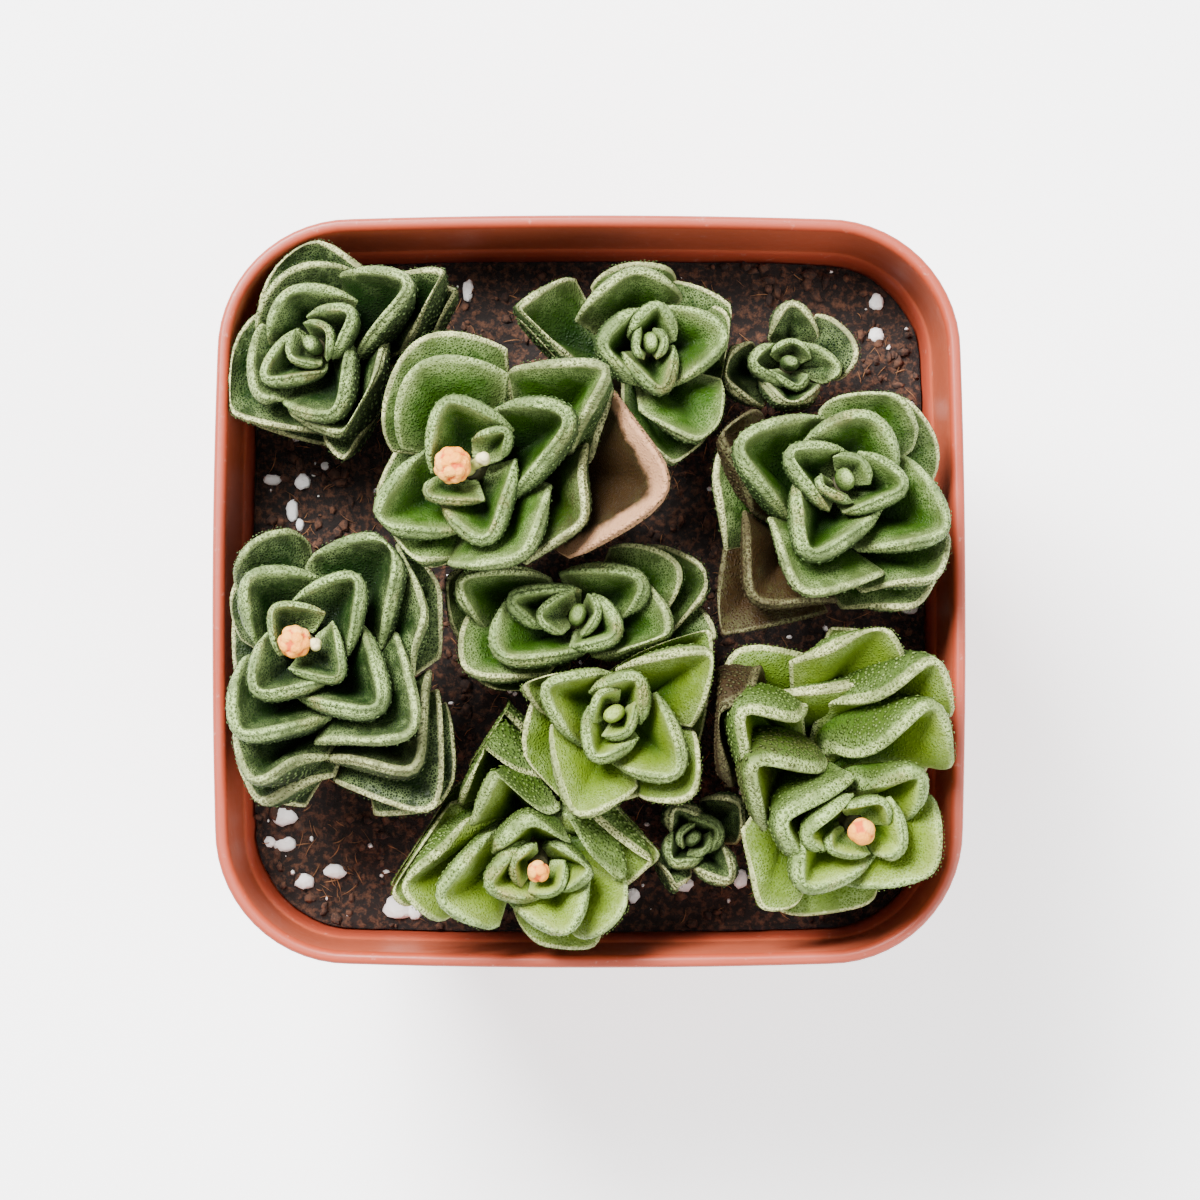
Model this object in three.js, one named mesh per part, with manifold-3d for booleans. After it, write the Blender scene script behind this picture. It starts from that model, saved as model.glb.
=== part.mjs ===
// Potted crassula: a square nursery pot, potting mix, eleven leafy stems and four bud clusters.
// Millimetres, +Z up, the origin at the middle of the pot's foot.
import * as THREE from 'three';
import { mergeVertices } from 'three/addons/utils/BufferGeometryUtils.js';
import Module from 'manifold-3d';

const wasm = await Module();
wasm.setup();
const { Manifold, Mesh } = wasm;

// Pot
const POT_HEIGHT = 85;
const LIP_HALF = 50;
const LIP_CORNER = 18;
const LIP_WIDTH = 1.2;
const COLLAR_HEIGHT = 15;
const COLLAR_DRAFT = 0.6;
const COLLAR_STEP = 1.1;
const WALL = 1.2;
const FOOT_HALF = 36.7;
const FOOT_CORNER = 11;
const FLOOR_TOP = 2.4;
const FLOOR_RECESS = 1.0;
const FOOT_RING = 3;
const SIDE_BULGE = 0.5;
const DRAIN_RADIUS = 3.2;
const DRAIN_AT = 21;

// Potting mix
const SOIL_TOP = 66.9;
const SOIL_CLEAR = 0.35;
const SOIL_RELIEF = 0.32;
const HOLE_CLEAR = 0.35;
const STEM_DEPTH = 9;
const BUD_SEAT = 2.6;

// Leafy stems
const STEM_RADIUS = 2.2;
const LEAF_FLOOR = 68.5;
const PRESS_GAP = 0.22;
const PRESS_SOFT = 1.3;
const WALL_SOFT = 1.5;
const FLOOR_SOFT = 1.2;
const EDGE_MIN = 0.62;
const REACH_HEIGHT = 4;
const AROUND = 8;
const QUARTER = AROUND / 4;
const DROP = 0.4;
const SIDE_AT = 0.8;
const ROOT = 0.24;
const NOTCH = 0.32;
const SHARE = 0.55;
const ROOT_IN = 0.92;
const SINK = 0.5;
const FLAT_FROM = 3;
const STEM_SIDES = 6;

// Radius and height of the closed leaves at the tip of a full-size stem
const TIP = [[1.0, -3.2], [1.35, -0.8], [1.1, 0.7], [0.6, 1.2]];

// Leaf pairs of a full-size stem, from the youngest outwards:
// reach, tip height, root height, thickness, half angle and slope at the tip
const PAIRS = [
  [3, 1.5, -3, 1.3, 80, 84],
  [5.6, 2, -5.2, 2.1, 78, 80],
  [8.6, 1.8, -7.6, 2.7, 76, 75],
  [11.6, 1, -10.2, 3, 73, 68],
  [14.4, -0.6, -12.9, 3, 70, 58],
  [16.6, -2.8, -15.7, 2.9, 68, 46],
  [17.6, -5.4, -18.5, 2.8, 66, 34],
  [18, -8.4, -21.3, 2.8, 64, 24],
  [18, -11.4, -24.1, 2.7, 63, 14],
  [18, -14.6, -26.9, 2.6, 62, 6],
  [17.5, -17.8, -29.7, 2.5, 61, 0],
];

// Leafy stems: apex, lean, direction of the lean, sideways bend of the older stem, direction of
// the first pair's keel, angle between crossing pairs, number of pairs and size. bud is the
// diameter of a bud cluster and its place beside the apex, small the place and radius of a
// single bud next to it.
const HEADS = [
  { name: 'stem_back_left', apex: [-36.9, 32.3, 91], tilt: 12, toward: 172, bend: 4,
    turn: 33, cross: -104, pairs: 8, size: 0.92 },
  { name: 'stem_middle_left', apex: [-16.0, 15.0, 102], tilt: 10, toward: 190, bend: 6,
    turn: 25, cross: 92, pairs: 8, size: 1.05, bud: [5.0, -1.4, 0.3], small: [2.5, 1.1, 1.0] },
  { name: 'stem_back_middle', apex: [8.2, 32.4, 93], tilt: 6, toward: 30, bend: 4,
    turn: 8, cross: 92, pairs: 7, size: 0.9 },
  { name: 'stem_back_right', apex: [27.1, 30.7, 84], tilt: 5, toward: 60, bend: 1,
    turn: 80, cross: 90, pairs: 4, size: 0.86 },
  { name: 'stem_right', apex: [33.5, 14.0, 98], tilt: 9, toward: 52, bend: 8,
    turn: 30, cross: 90, pairs: 9, size: 0.97 },
  { name: 'stem_left', apex: [-37.1, -7.0, 101], tilt: 9, toward: 118, bend: 10,
    turn: 134, cross: 84, pairs: 10, size: 1, bud: [4.4, -0.7, -0.6], small: [1.9, -0.9, 0.9] },
  { name: 'stem_centre', apex: [-1.5, -3.5, 92], tilt: 5, toward: 90, bend: 1,
    turn: -20, cross: 60, pairs: 7, size: 0.97 },
  { name: 'stem_front_centre', apex: [3.2, -16.7, 96], tilt: 5, toward: 200, bend: 1,
    turn: -60, cross: 98, pairs: 6, size: 0.96 },
  { name: 'stem_front', apex: [-6.4, -36.9, 98], tilt: 10, toward: 286, bend: 8,
    turn: 180, cross: 92, pairs: 10, size: 1, bud: [3.0, -0.2, -0.1] },
  { name: 'stem_front_small', apex: [14.0, -33.3, 82], tilt: 4, toward: 90, bend: 1,
    turn: 130, cross: 86, pairs: 4, size: 0.84 },
  { name: 'stem_front_right', apex: [34.9, -31.8, 99], tilt: 14, toward: 302, bend: 10,
    turn: 200, cross: 98, pairs: 10, size: 1.03, bud: [3.7, 0.2, 0] },
];

// Where two neighbours press on one another: a place between them as seen from above the lip, the
// way from the first to the second, the height and how far the first reaches over the second
// above it
const PRESSES = [
  { pair: ['stem_back_left', 'stem_middle_left'], at: [-27.2, 26.0], way: -32, level: 88, over: -2 },
  { pair: ['stem_middle_left', 'stem_back_middle'], at: [2.7, 27.2], way: 45, level: 92, over: 2.5 },
  { pair: ['stem_middle_left', 'stem_centre'], at: [-5.0, 3.6], way: -80, level: 95, over: 3 },
  { pair: ['stem_middle_left', 'stem_left'], at: [-25.2, 6.4], way: 222, level: 94, over: 1 },
  { pair: ['stem_middle_left', 'stem_right'], at: [13.6, 15.0], way: -2, level: 90, over: 0 },
  { pair: ['stem_back_middle', 'stem_back_right'], at: [18.6, 30.0], way: -10, level: 88, over: 1 },
  { pair: ['stem_back_middle', 'stem_right'], at: [18.2, 21.9], way: -50, level: 90, over: 0 },
  { pair: ['stem_back_right', 'stem_right'], at: [30.0, 24.5], way: -88, level: 86, over: -1.5 },
  { pair: ['stem_right', 'stem_centre'], at: [16.6, 1.5], way: 190, level: 87, over: 1 },
  { pair: ['stem_right', 'stem_front_right'], at: [26.0, -5.4], way: -83, level: 88, over: 1 },
  { pair: ['stem_left', 'stem_centre'], at: [-19.0, -7.0], way: 5, level: 88, over: 1 },
  { pair: ['stem_left', 'stem_front'], at: [-18.9, -27.8], way: -33, level: 88, over: 0.5 },
  { pair: ['stem_centre', 'stem_front_centre'], at: [2.8, -9.9], way: -74, level: 91, over: -1.5 },
  { pair: ['stem_centre', 'stem_front'], at: [-12.5, -13.2], way: -95, level: 84, over: 1 },
  { pair: ['stem_front_centre', 'stem_front'], at: [-3.4, -27.0], way: 225, level: 91, over: 4 },
  { pair: ['stem_front_centre', 'stem_front_right'], at: [15.6, -20.5], way: -5, level: 90, over: 0.5 },
  { pair: ['stem_front_centre', 'stem_front_small'], at: [11.0, -29.0], way: -85, level: 84, over: 3 },
  { pair: ['stem_front', 'stem_front_small'], at: [9.6, -34.6], way: 25, level: 84, over: 3 },
  { pair: ['stem_front_small', 'stem_front_right'], at: [19.6, -33.0], way: 0, level: 84, over: -4 },
];

// Leaves measured from above, in millimetres at the lip's height: pair, side, the corner where the
// margin and the keel meet, both ends of the margin, and where they differ from the usual how
// rounded the margin is, how much higher the tip is and how much steeper it rises
const SEEN = {
  stem_back_left: [
    [1, 0, -32.6, 37.1, -37.9, 36.7, -36.1, 32.2],
    [1, 1, -43.3, 28.8, -38.4, 35.2, -35.4, 29.4],
    [2, 0, -34.6, 24.3, -32.3, 33.5, -41.5, 25.3, 0.4],
    [2, 1, -40.0, 39.7, -43.0, 32.9, -31.0, 38.9, 0.3],
    [3, 0, -25.0, 41.2, -33.9, 42.4, -31.4, 31.5],
    [3, 1, -44.6, 27.2, -44.0, 36.0, -39.8, 25.2],
    [4, 0, -31.0, 21.5, -40.6, 24.0, -27.0, 34.5],
    [4, 1, -40.4, 42.4, -44.6, 34.0, -31.0, 43.0, 0.5],
    [5, 0, -19.4, 41.8, -26.5, 41.5, -25.0, 33.0, 0.5],
    [6, 0, -32.6, 17.9, -35.5, 22.5, -27.2, 25.0, 0.4],
    [7, 0, -16.6, 38.4, -22.5, 41.5, -22.0, 31.0, 0.4],
  ],
  stem_middle_left: [
    [0, 0, -11.5, 21.0, -15.7, 20.1, -12.0, 18.5],
    [0, 1, -21.2, 12.7, -20.2, 14.2, -13.9, 11.9],
    [1, 0, -19.1, 24.8, -20.9, 14.8, -10.0, 21.5, 0.3],
    [1, 1, -14.0, 7.3, -20.0, 11.8, -9.8, 17.6, 0.3],
    [2, 0, -3.6, 22.8, -12.6, 24.3, -11.0, 12.0, 0.4, 0, 6],
    [2, 1, -27.8, 9.6, -21.9, 18.7, -16.6, 7.9],
    [3, 0, -22.7, 29.9, -25.4, 19.0, -10.7, 29.3, 0.9, 0, -25],
    [3, 1, -9.4, 5.0, -4.9, 14.0, -19.3, 3.2, 0.3, 0, -12],
    [4, 0, 1.8, 29.6, -10.7, 29.6, -2.0, 19.0, 0.1, 0, -6],
    [4, 1, -24.3, 4.8, -26.0, 11.0, -17.0, 4.4],
    [5, 0, -1.2, 9.5, 0.1, 19.7, -8.8, 2.9, 0.15, 0.5, 0],
    [5, 1, -23.6, 32.6, -27.0, 18.7, -11.0, 33.0, 0.9, 0, -20],
    [6, 0, 9.9, 13.6, 3.6, 27.3, -4.0, 2.9, 0.35, 2.5, 8],
    [6, 1, -26.5, 5.0, -27.4, 14.0, -20.0, 2.0],
    [7, 0, 2.2, 27.2, -8.0, 30.0, 0.5, 17.0, 0.3],
  ],
  stem_back_middle: [
    [0, 0, 9.9, 33.5, 8.6, 35.1, 7.9, 30.9, 0.8],
    [0, 1, 6.8, 32.8, 8.0, 34.8, 7.4, 30.9, 0.6],
    [1, 0, 9.2, 37.8, 5.8, 32.0, 11.6, 33.4],
    [1, 1, 9.7, 27.4, 4.5, 31.9, 11.2, 32.8],
    [2, 0, 2.6, 33.1, 7.2, 37.8, 6.9, 27.4, 0.3, 0, 8],
    [2, 1, 18.1, 34.2, 10.4, 38.2, 10.8, 27.1, 0.7, 0, -22],
    [3, 0, 5.9, 42.4, -2.1, 36.2, 12.7, 39.3, 0.25],
    [3, 1, 16.2, 20.3, 6.8, 23.8, 18.6, 28.0, 0.45, 0, -25],
    [4, 0, -9.6, 36.8, -2.2, 42.2, -1.0, 31.6, 0.15, -4],
    [4, 1, 20.2, 34.0, 15.0, 38.8, 19.0, 28.8, 0.5, -4],
    [5, 0, 12.0, 17.2, 7.0, 22.0, 17.5, 22.0, 0.4, -3],
    [5, 1, 6.0, 43.6, 0.0, 41.0, 12.0, 42.0, 0.5, -3],
    [6, 0, -11.5, 31.8, -9.0, 35.0, -2.0, 30.6, 0.5, -2],
  ],
  stem_back_right: [
    [0, 0, 27.4, 33.1, 24.7, 31.4, 28.9, 29.5, 0.8],
    [0, 1, 28.0, 27.6, 25.8, 30.2, 29.3, 29.0],
    [1, 0, 22.6, 30.6, 25.0, 33.0, 26.8, 27.5, 0.3],
    [1, 1, 33.3, 30.0, 28.6, 33.2, 31.6, 27.9, 0.6, 0, -25],
    [2, 0, 27.4, 38.2, 24.1, 33.8, 31.0, 33.9, 0.35, 0, -15],
    [2, 1, 27.2, 25.2, 22.7, 28.8, 31.1, 27.6, 0.25],
    [3, 0, 18.0, 29.4, 21.8, 33.3, 23.2, 24.3, 0.4],
    [3, 1, 35.6, 32.8, 30.6, 37.2, 33.6, 28.0, 1.0, 0, -30],
  ],
  stem_right: [
    [0, 0, 36.4, 17.2, 37.3, 14.2, 31.9, 16.2],
    [0, 1, 31.7, 14.0, 32.0, 15.4, 35.8, 12.9],
    [1, 0, 27.5, 18.2, 35.9, 17.9, 32.2, 10.6],
    [1, 1, 41.9, 14.2, 36.2, 18.5, 34.0, 10.4],
    [2, 0, 37.6, 22.9, 28.3, 19.4, 41.4, 15.0, 0.6],
    [2, 1, 30.0, 5.4, 28.0, 15.3, 39.6, 11.4],
    [3, 0, 20.9, 19.6, 32.0, 23.0, 26.6, 9.6, 0.3],
    [3, 1, 47.6, 8.5, 42.0, 18.2, 36.2, 5.1, 0.3, 0, -10],
    [4, 0, 29.0, 0.0, 23.9, 9.5, 39.8, 1.9, 0.3, 0, -18],
    [4, 1, 40.6, 26.0, 30.8, 24.6, 43.8, 18.9, 0.3],
    [5, 0, 18.1, 21.4, 23.4, 23.0, 21.6, 10.5],
    [5, 1, 46.4, 2.1, 47.0, 8.0, 39.9, 0.9],
    [6, 0, 22.6, -0.9, 20.5, 10.6, 33.3, -1.9, 0.3],
    [6, 1, 44.0, 24.0, 36.0, 26.0, 46.5, 14.0, 0.5],
    [7, 0, 17.4, 17.0, 21.0, 22.5, 18.0, 5.0, 0.5],
    [7, 1, 44.0, -1.6, 46.5, 5.0, 35.0, -2.6, 0.3],
    [8, 0, 17.2, -5.6, 18.6, 8.6, 32.0, -3.4, 0.15],
  ],
  stem_left: [
    [0, 0, -42.0, -2.6, -35.0, -3.3, -40.7, -9.6],
    [0, 1, -33.7, -11.4, -34.3, -4.2, -40.2, -10.6],
    [1, 0, -31.6, 1.3, -40.0, -1.9, -32.2, -8.8],
    [1, 1, -44.1, -13.2, -43.1, -5.8, -34.4, -12.0],
    [2, 0, -45.1, 1.4, -35.0, 1.2, -44.4, -7.6],
    [2, 1, -28.6, -15.2, -30.5, -4.3, -39.3, -14.2],
    [3, 0, -26.6, 6.2, -38.0, 3.4, -27.6, -7.6],
    [3, 1, -46.4, -18.6, -45.8, -8.8, -34.6, -17.4],
    [4, 0, -23.9, -18.7, -25.6, -5.6, -36.6, -20.8, 0.3, 0, -16],
    [4, 1, -44.8, 6.0, -47.0, -0.5, -37.5, 6.8],
    [5, 0, -44.8, -25.2, -46.4, -18.6, -35.6, -22.8, 0.25],
    [5, 1, -22.4, -2.6, -25.4, 6.6, -23.0, -8.0],
    [6, 0, -23.6, -23.4, -20.9, -10.7, -35.4, -22.9, 0.2],
    [6, 1, -46.6, 2.0, -46.8, -6.0, -41.0, 7.0, 0.5],
    [7, 0, -44.0, -27.8, -45.6, -22.0, -34.2, -25.2],
    [7, 1, -20.6, 3.0, -25.0, 8.0, -20.4, -6.0, 0.5],
    [8, 0, -21.0, -28.8, -19.8, -13.4, -34.0, -25.9, 0.35, 0, -8],
    [9, 0, -18.9, -27.6, -17.6, -15.0, -28.5, -30.6, 0.4],
    [9, 1, -46.0, -25.0, -47.0, -12.0, -38.0, -29.5, 0.5],
  ],
  stem_centre: [
    [0, 0, 0.8, -3.0, -1.0, -2.2, -1.6, -4.2, 0.5],
    [0, 1, -6.2, -3.3, -1.6, -2.2, -2.2, -4.2, 0.5],
    [1, 0, 3.2, -5.6, 0.5, -0.6, -5.8, -4.5, 0.4],
    [1, 1, -9.9, -1.2, -0.6, -1.2, -6.2, -5.2, 0.25],
    [2, 0, 6.2, 1.4, -6.5, 0.3, 4.8, -3.7, 0.5],
    [2, 1, -11.6, -8.4, -10.8, -0.8, 0.4, -7.6, 0.6, 0, -14],
    [3, 0, 10.2, -5.8, 6.8, 1.8, 0.6, -8.9, 0.5, 0, -12],
    [3, 1, -16.6, 1.2, -5.4, 1.6, -14.0, -4.6, 0.3],
    [4, 0, 11.5, 3.4, 3.0, 6.0, 9.8, -1.4, 0.8, 0, -22],
    [4, 1, -16.2, -10.4, -15.9, -2.5, -5.6, -11.5, 0.5, 0, -18],
    [5, 0, 15.9, 1.8, 7.4, 6.2, 11.0, -3.6, 0.25],
    [5, 1, -19.6, 0.0, -14.0, 3.0, -17.0, -5.0, 0.4],
    [6, 0, 16.6, -7.2, 14.0, -3.8, 12.0, -9.0, 0.4],
    [6, 1, -10.0, -15.0, -16.0, -11.0, -5.0, -13.0, 0.5],
  ],
  stem_front_centre: [
    [0, 0, 4.8, -18.8, 4.3, -14.6, 2.3, -18.4, 0.4],
    [0, 1, 1.6, -14.4, 4.0, -14.3, 2.0, -17.6, 0.3],
    [1, 0, 6.0, -12.3, -0.1, -13.9, 6.2, -19.0, 0.3],
    [1, 1, 1.0, -22.0, 0.4, -14.8, 6.6, -19.8, 0.2],
    [2, 0, -5.2, -13.3, 3.1, -11.3, -1.2, -21.0, 0.2],
    [2, 1, 11.6, -24.0, 9.0, -13.9, 3.0, -23.2, 0.5, 0, -10],
    [3, 0, 16.2, -8.9, 3.7, -10.6, 14.0, -18.4, 0.2, 0, -20],
    [3, 1, -1.7, -29.6, -5.3, -18.2, 6.5, -26.7, 0.2, 0, -18],
    [4, 0, 13.6, -27.0, 14.3, -18.8, 6.4, -27.7, 0.5, 0, -12],
    [4, 1, -8.0, -11.6, 0.0, -9.8, -5.6, -17.0, 0.5],
  ],
  stem_front: [
    [0, 0, -9.7, -36.7, -6.8, -35.5, -8.4, -39.2, 0.3],
    [0, 1, -4.4, -40.0, -3.4, -36.2, -8.6, -40.0, 0.4],
    [1, 0, -12.7, -39.5, -8.7, -33.7, -5.8, -41.0, 0.2],
    [1, 1, -0.3, -37.2, -5.6, -34.8, -4.3, -40.3, 0.2],
    [2, 0, -7.7, -31.8, -12.9, -35.3, -1.8, -33.2, 0.2, 0, 12],
    [2, 1, -3.1, -45.4, -10.9, -41.4, 0.1, -37.8, 0.25, 0, -20],
    [3, 0, 6.1, -34.4, -2.7, -30.1, 0.9, -39.8, 0.4, -4, -14],
    [3, 1, -19.3, -41.2, -13.4, -32.6, -12.2, -45.2, 0.15, 0, -8],
    [4, 0, -11.4, -24.7, -16.0, -31.4, -3.4, -28.8, 0.15],
    [4, 1, 3.2, -44.2, 5.0, -38.6, -2.4, -46.0, 0.5, 0, -14],
    [5, 0, 10.3, -32.4, 4.0, -28.8, 6.2, -38.2, 0.2, -9, -10],
    [5, 1, -24.4, -39.6, -17.3, -32.7, -18.4, -43.6, 0.25],
    [6, 0, -13.9, -19.4, -17.3, -28.7, -4.9, -25.8, 0.12, -1, 25],
    [6, 1, -4.4, -47.6, -10.2, -43.2, 2.2, -45.6, 0.6],
    [7, 0, -26.6, -37.8, -19.6, -30.7, -24.0, -41.4, 0.4],
    [8, 0, -13.8, -14.0, -17.2, -23.0, -6.2, -21.4, 0.12, -2, 42],
    [8, 1, -7.0, -43.6, -12.5, -39.0, -0.5, -41.0, 0.6],
    [9, 0, -29.8, -33.4, -23.0, -30.8, -27.0, -37.6, 0.4],
  ],
  stem_front_small: [
    [0, 0, 12.5, -32.8, 14.8, -32.6, 12.8, -34.4, 0.3],
    [0, 1, 15.4, -34.4, 15.2, -32.7, 13.0, -34.8, 0.4],
    [1, 0, 11.2, -35.9, 11.4, -32.4, 15.0, -35.2, 0.25],
    [1, 1, 16.8, -32.0, 12.8, -31.3, 15.8, -34.9, 0.6],
    [2, 0, 11.7, -29.4, 11.1, -32.6, 15.9, -31.1, 0.3],
    [2, 1, 18.7, -38.4, 17.4, -33.6, 13.5, -36.8, 0.3, 0, -15],
    [3, 0, 9.5, -39.6, 8.6, -35.0, 13.6, -38.4, 0.7, 0, -20],
    [3, 1, 20.0, -28.9, 14.9, -28.0, 19.8, -34.0, 0.4],
  ],
  stem_front_right: [
    [0, 0, 33.0, -34.8, 32.3, -32.4, 37.6, -35.2, 0.4],
    [0, 1, 38.9, -28.8, 34.4, -30.2, 40.0, -31.6, 0.3],
    [1, 0, 29.9, -32.8, 38.0, -28.0, 31.8, -34.7, 0.2],
    [1, 1, 41.4, -34.4, 40.2, -27.6, 37.8, -35.2, 0.2],
    [2, 0, 29.3, -39.4, 28.7, -32.3, 38.2, -35.5, 0.25],
    [2, 1, 43.9, -25.4, 38.6, -27.2, 42.4, -30.9, 0.2],
    [3, 0, 26.8, -31.0, 38.2, -25.9, 28.7, -36.3, 0.15, 0, 16],
    [3, 1, 45.6, -37.5, 46.0, -27.4, 33.8, -39.4, 0.2, 0, -24],
    [4, 0, 22.7, -23.8, 34.2, -22.8, 23.0, -32.0, 0.15, 0, 22],
    [4, 1, 46.0, -16.0, 35.0, -22.2, 47.6, -23.8, 0.15, 0, 4],
    [5, 0, 21.0, -16.9, 31.4, -14.9, 20.7, -25.4, 0.15, 0, 22],
    [5, 1, 46.2, -10.0, 33.4, -14.8, 47.0, -17.0, 0.15, 0, 6],
    [6, 0, 16.9, -17.2, 27.1, -8.1, 18.7, -26.4, 0.2, 0, 40],
    [6, 1, 38.8, -5.2, 29.0, -8.6, 40.0, -10.4, 0.5],
    [7, 0, 23.4, -42.4, 21.3, -34.2, 28.0, -39.5, 0.2, 0, -6],
    [8, 0, 32.6, -43.0, 25.0, -42.4, 37.0, -40.4, 0.6],
    [8, 1, 42.0, -8.8, 36.0, -3.6, 44.0, -12.0, 0.4],
  ],
};

const ROUND = 0.25;
const EYE = 534.6;
const EYE_TO_LIP = 449.6;
const EYE_BACK = 19.6;

// Perlite lumps on the mix: x, y and radius
const PERLITE = [
  [-44.0, 26.1, 2.0], [-40.9, 23.3, 1.6], [-16.9, 42.6, 1.1], [-44.2, 16.1, 1.0], [-39.9, 15.8, 1.1],
  [-41.4, 11.7, 1.2], [40.2, 41.0, 1.1], [40.2, 36.4, 1.1], [44.4, 25.6, 1.4], [-42.3, -30.8, 1.5],
  [-42.3, -34.6, 1.3], [-35.2, -38.4, 1.3], [-26.4, -43.4, 2.0], [20.9, -39.3, 1.2],
];

const rad = (deg) => deg * Math.PI / 180;
const clamp = (x, low, high) => Math.min(high, Math.max(low, x));

// A repeatable number from -1 to 1 for each set of whole numbers
function chance(...key) {
  const sum = key.reduce((s, v, i) => s + (i + 1) * 12.9898 * v + 78.233 * (i + 3), 0);
  const x = Math.sin(sum) * 43758.5453;
  return (x - Math.floor(x)) * 2 - 1;
}

// Solid from rings or grids of points, turned so that its faces point out
function solid(points, triangles) {
  let volume = 0;
  for (const [a, b, c] of triangles) {
    const p = points[a];
    const q = points[b];
    const r = points[c];
    volume += p[0] * (q[1] * r[2] - q[2] * r[1]) + p[1] * (q[2] * r[0] - q[0] * r[2])
      + p[2] * (q[0] * r[1] - q[1] * r[0]);
  }
  const order = volume > 0 ? triangles : triangles.map(([a, b, c]) => [a, c, b]);
  return new Manifold(new Mesh({
    numProp: 3,
    vertProperties: new Float32Array(points.flat()),
    triVerts: new Uint32Array(order.flat()),
  }));
}

// Solid through a stack of rings with the same number of points, closed by flat ends or by ends
// with a middle point. `mirrored` tells which four-sided faces are split along their other
// diagonal.
function lofted(rings, mirrored = () => false, middles = []) {
  const n = rings[0].length;
  const triangles = [];
  for (let i = 0; i + 1 < rings.length; i += 1) {
    for (let t = 0; t < n; t += 1) {
      const a = i * n + t;
      const b = i * n + (t + 1) % n;
      if (mirrored(i, t)) triangles.push([a, b, a + n], [b, b + n, a + n]);
      else triangles.push([a, b, b + n], [a, b + n, a + n]);
    }
  }
  const last = (rings.length - 1) * n;
  const points = [...rings.flat(), ...middles];
  const middle = rings.length * n;
  if (middles.length === 0) {
    for (let t = 1; t + 1 < n; t += 1) {
      triangles.push([0, t + 1, t], [last, last + t, last + t + 1]);
    }
  } else {
    for (let t = 0; t < n; t += 1) {
      const next = (t + 1) % n;
      triangles.push([middle, next, t], [middle + 1, last + t, last + next]);
    }
  }
  return solid(points, triangles);
}

function joined(solids) {
  let level = solids;
  while (level.length > 1) {
    const next = [];
    for (let i = 0; i < level.length; i += 2) {
      next.push(i + 1 < level.length ? level[i].add(level[i + 1]) : level[i]);
    }
    level = next;
  }
  return level[0];
}

// Largest outer skin of a solid: sealed hollows are filled and loose scraps dropped
function outerBody(body) {
  const mesh = body.getMesh();
  const tri = mesh.triVerts;
  const pos = mesh.vertProperties;
  const parent = Array.from({ length: pos.length / 3 }, (_, i) => i);
  const find = (i) => {
    let k = i;
    while (parent[k] !== k) {
      parent[k] = parent[parent[k]];
      k = parent[k];
    }
    return k;
  };
  for (let t = 0; t < tri.length; t += 3) {
    parent[find(tri[t])] = find(tri[t + 1]);
    parent[find(tri[t + 1])] = find(tri[t + 2]);
  }
  const volumes = new Map();
  for (let t = 0; t < tri.length; t += 3) {
    const corners = [tri[t], tri[t + 1], tri[t + 2]];
    const [p, q, r] = corners.map((i) => [pos[3 * i], pos[3 * i + 1], pos[3 * i + 2]]);
    const v = p[0] * (q[1] * r[2] - q[2] * r[1]) + p[1] * (q[2] * r[0] - q[0] * r[2])
      + p[2] * (q[0] * r[1] - q[1] * r[0]);
    const key = find(tri[t]);
    volumes.set(key, (volumes.get(key) ?? 0) + v);
  }
  const best = [...volumes].sort((a, b) => b[1] - a[1])[0][0];
  const kept = [];
  for (let t = 0; t < tri.length; t += 3) {
    if (find(tri[t]) === best) kept.push(tri[t], tri[t + 1], tri[t + 2]);
  }
  return geometryOf(pos, kept);
}

function geometryOf(positions, indices) {
  const geometry = new THREE.BufferGeometry();
  geometry.setAttribute('position', new THREE.BufferAttribute(new Float32Array(positions), 3));
  geometry.setIndex(Array.from(indices));
  const used = geometry.toNonIndexed();
  const merged = mergeVertices(used, 1e-7);
  merged.computeVertexNormals();
  return merged;
}

// Rounded square of half width s and corner radius r at height z, with slightly bowed sides
function squareRing(s, r, z, bulge = SIDE_BULGE) {
  const ring = [];
  const corner = 5;
  const straight = s - r;
  for (let q = 0; q < 4; q += 1) {
    const cx = q === 0 || q === 3 ? straight : -straight;
    const cy = q < 2 ? straight : -straight;
    for (let t = 0; t <= corner; t += 1) {
      const a = (q + t / corner) * Math.PI / 2;
      ring.push([cx + r * Math.cos(a), cy + r * Math.sin(a), z]);
    }
    const mid = (q + 1) * Math.PI / 2;
    ring.push([(s + bulge) * Math.cos(mid), (s + bulge) * Math.sin(mid), z]);
  }
  return ring;
}

// Inner face of the pot at height z
function potInside(z) {
  const ledge = POT_HEIGHT - COLLAR_HEIGHT;
  if (z >= ledge) {
    return LIP_HALF - LIP_WIDTH - COLLAR_DRAFT * (POT_HEIGHT - z) / COLLAR_HEIGHT - 0.6;
  }
  const high = LIP_HALF - COLLAR_DRAFT - COLLAR_STEP - WALL;
  const low = FOOT_HALF - WALL;
  return low + (high - low) * z / ledge;
}

function cornerAt(z) {
  return FOOT_CORNER + (LIP_CORNER - FOOT_CORNER) * z / POT_HEIGHT;
}

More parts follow.
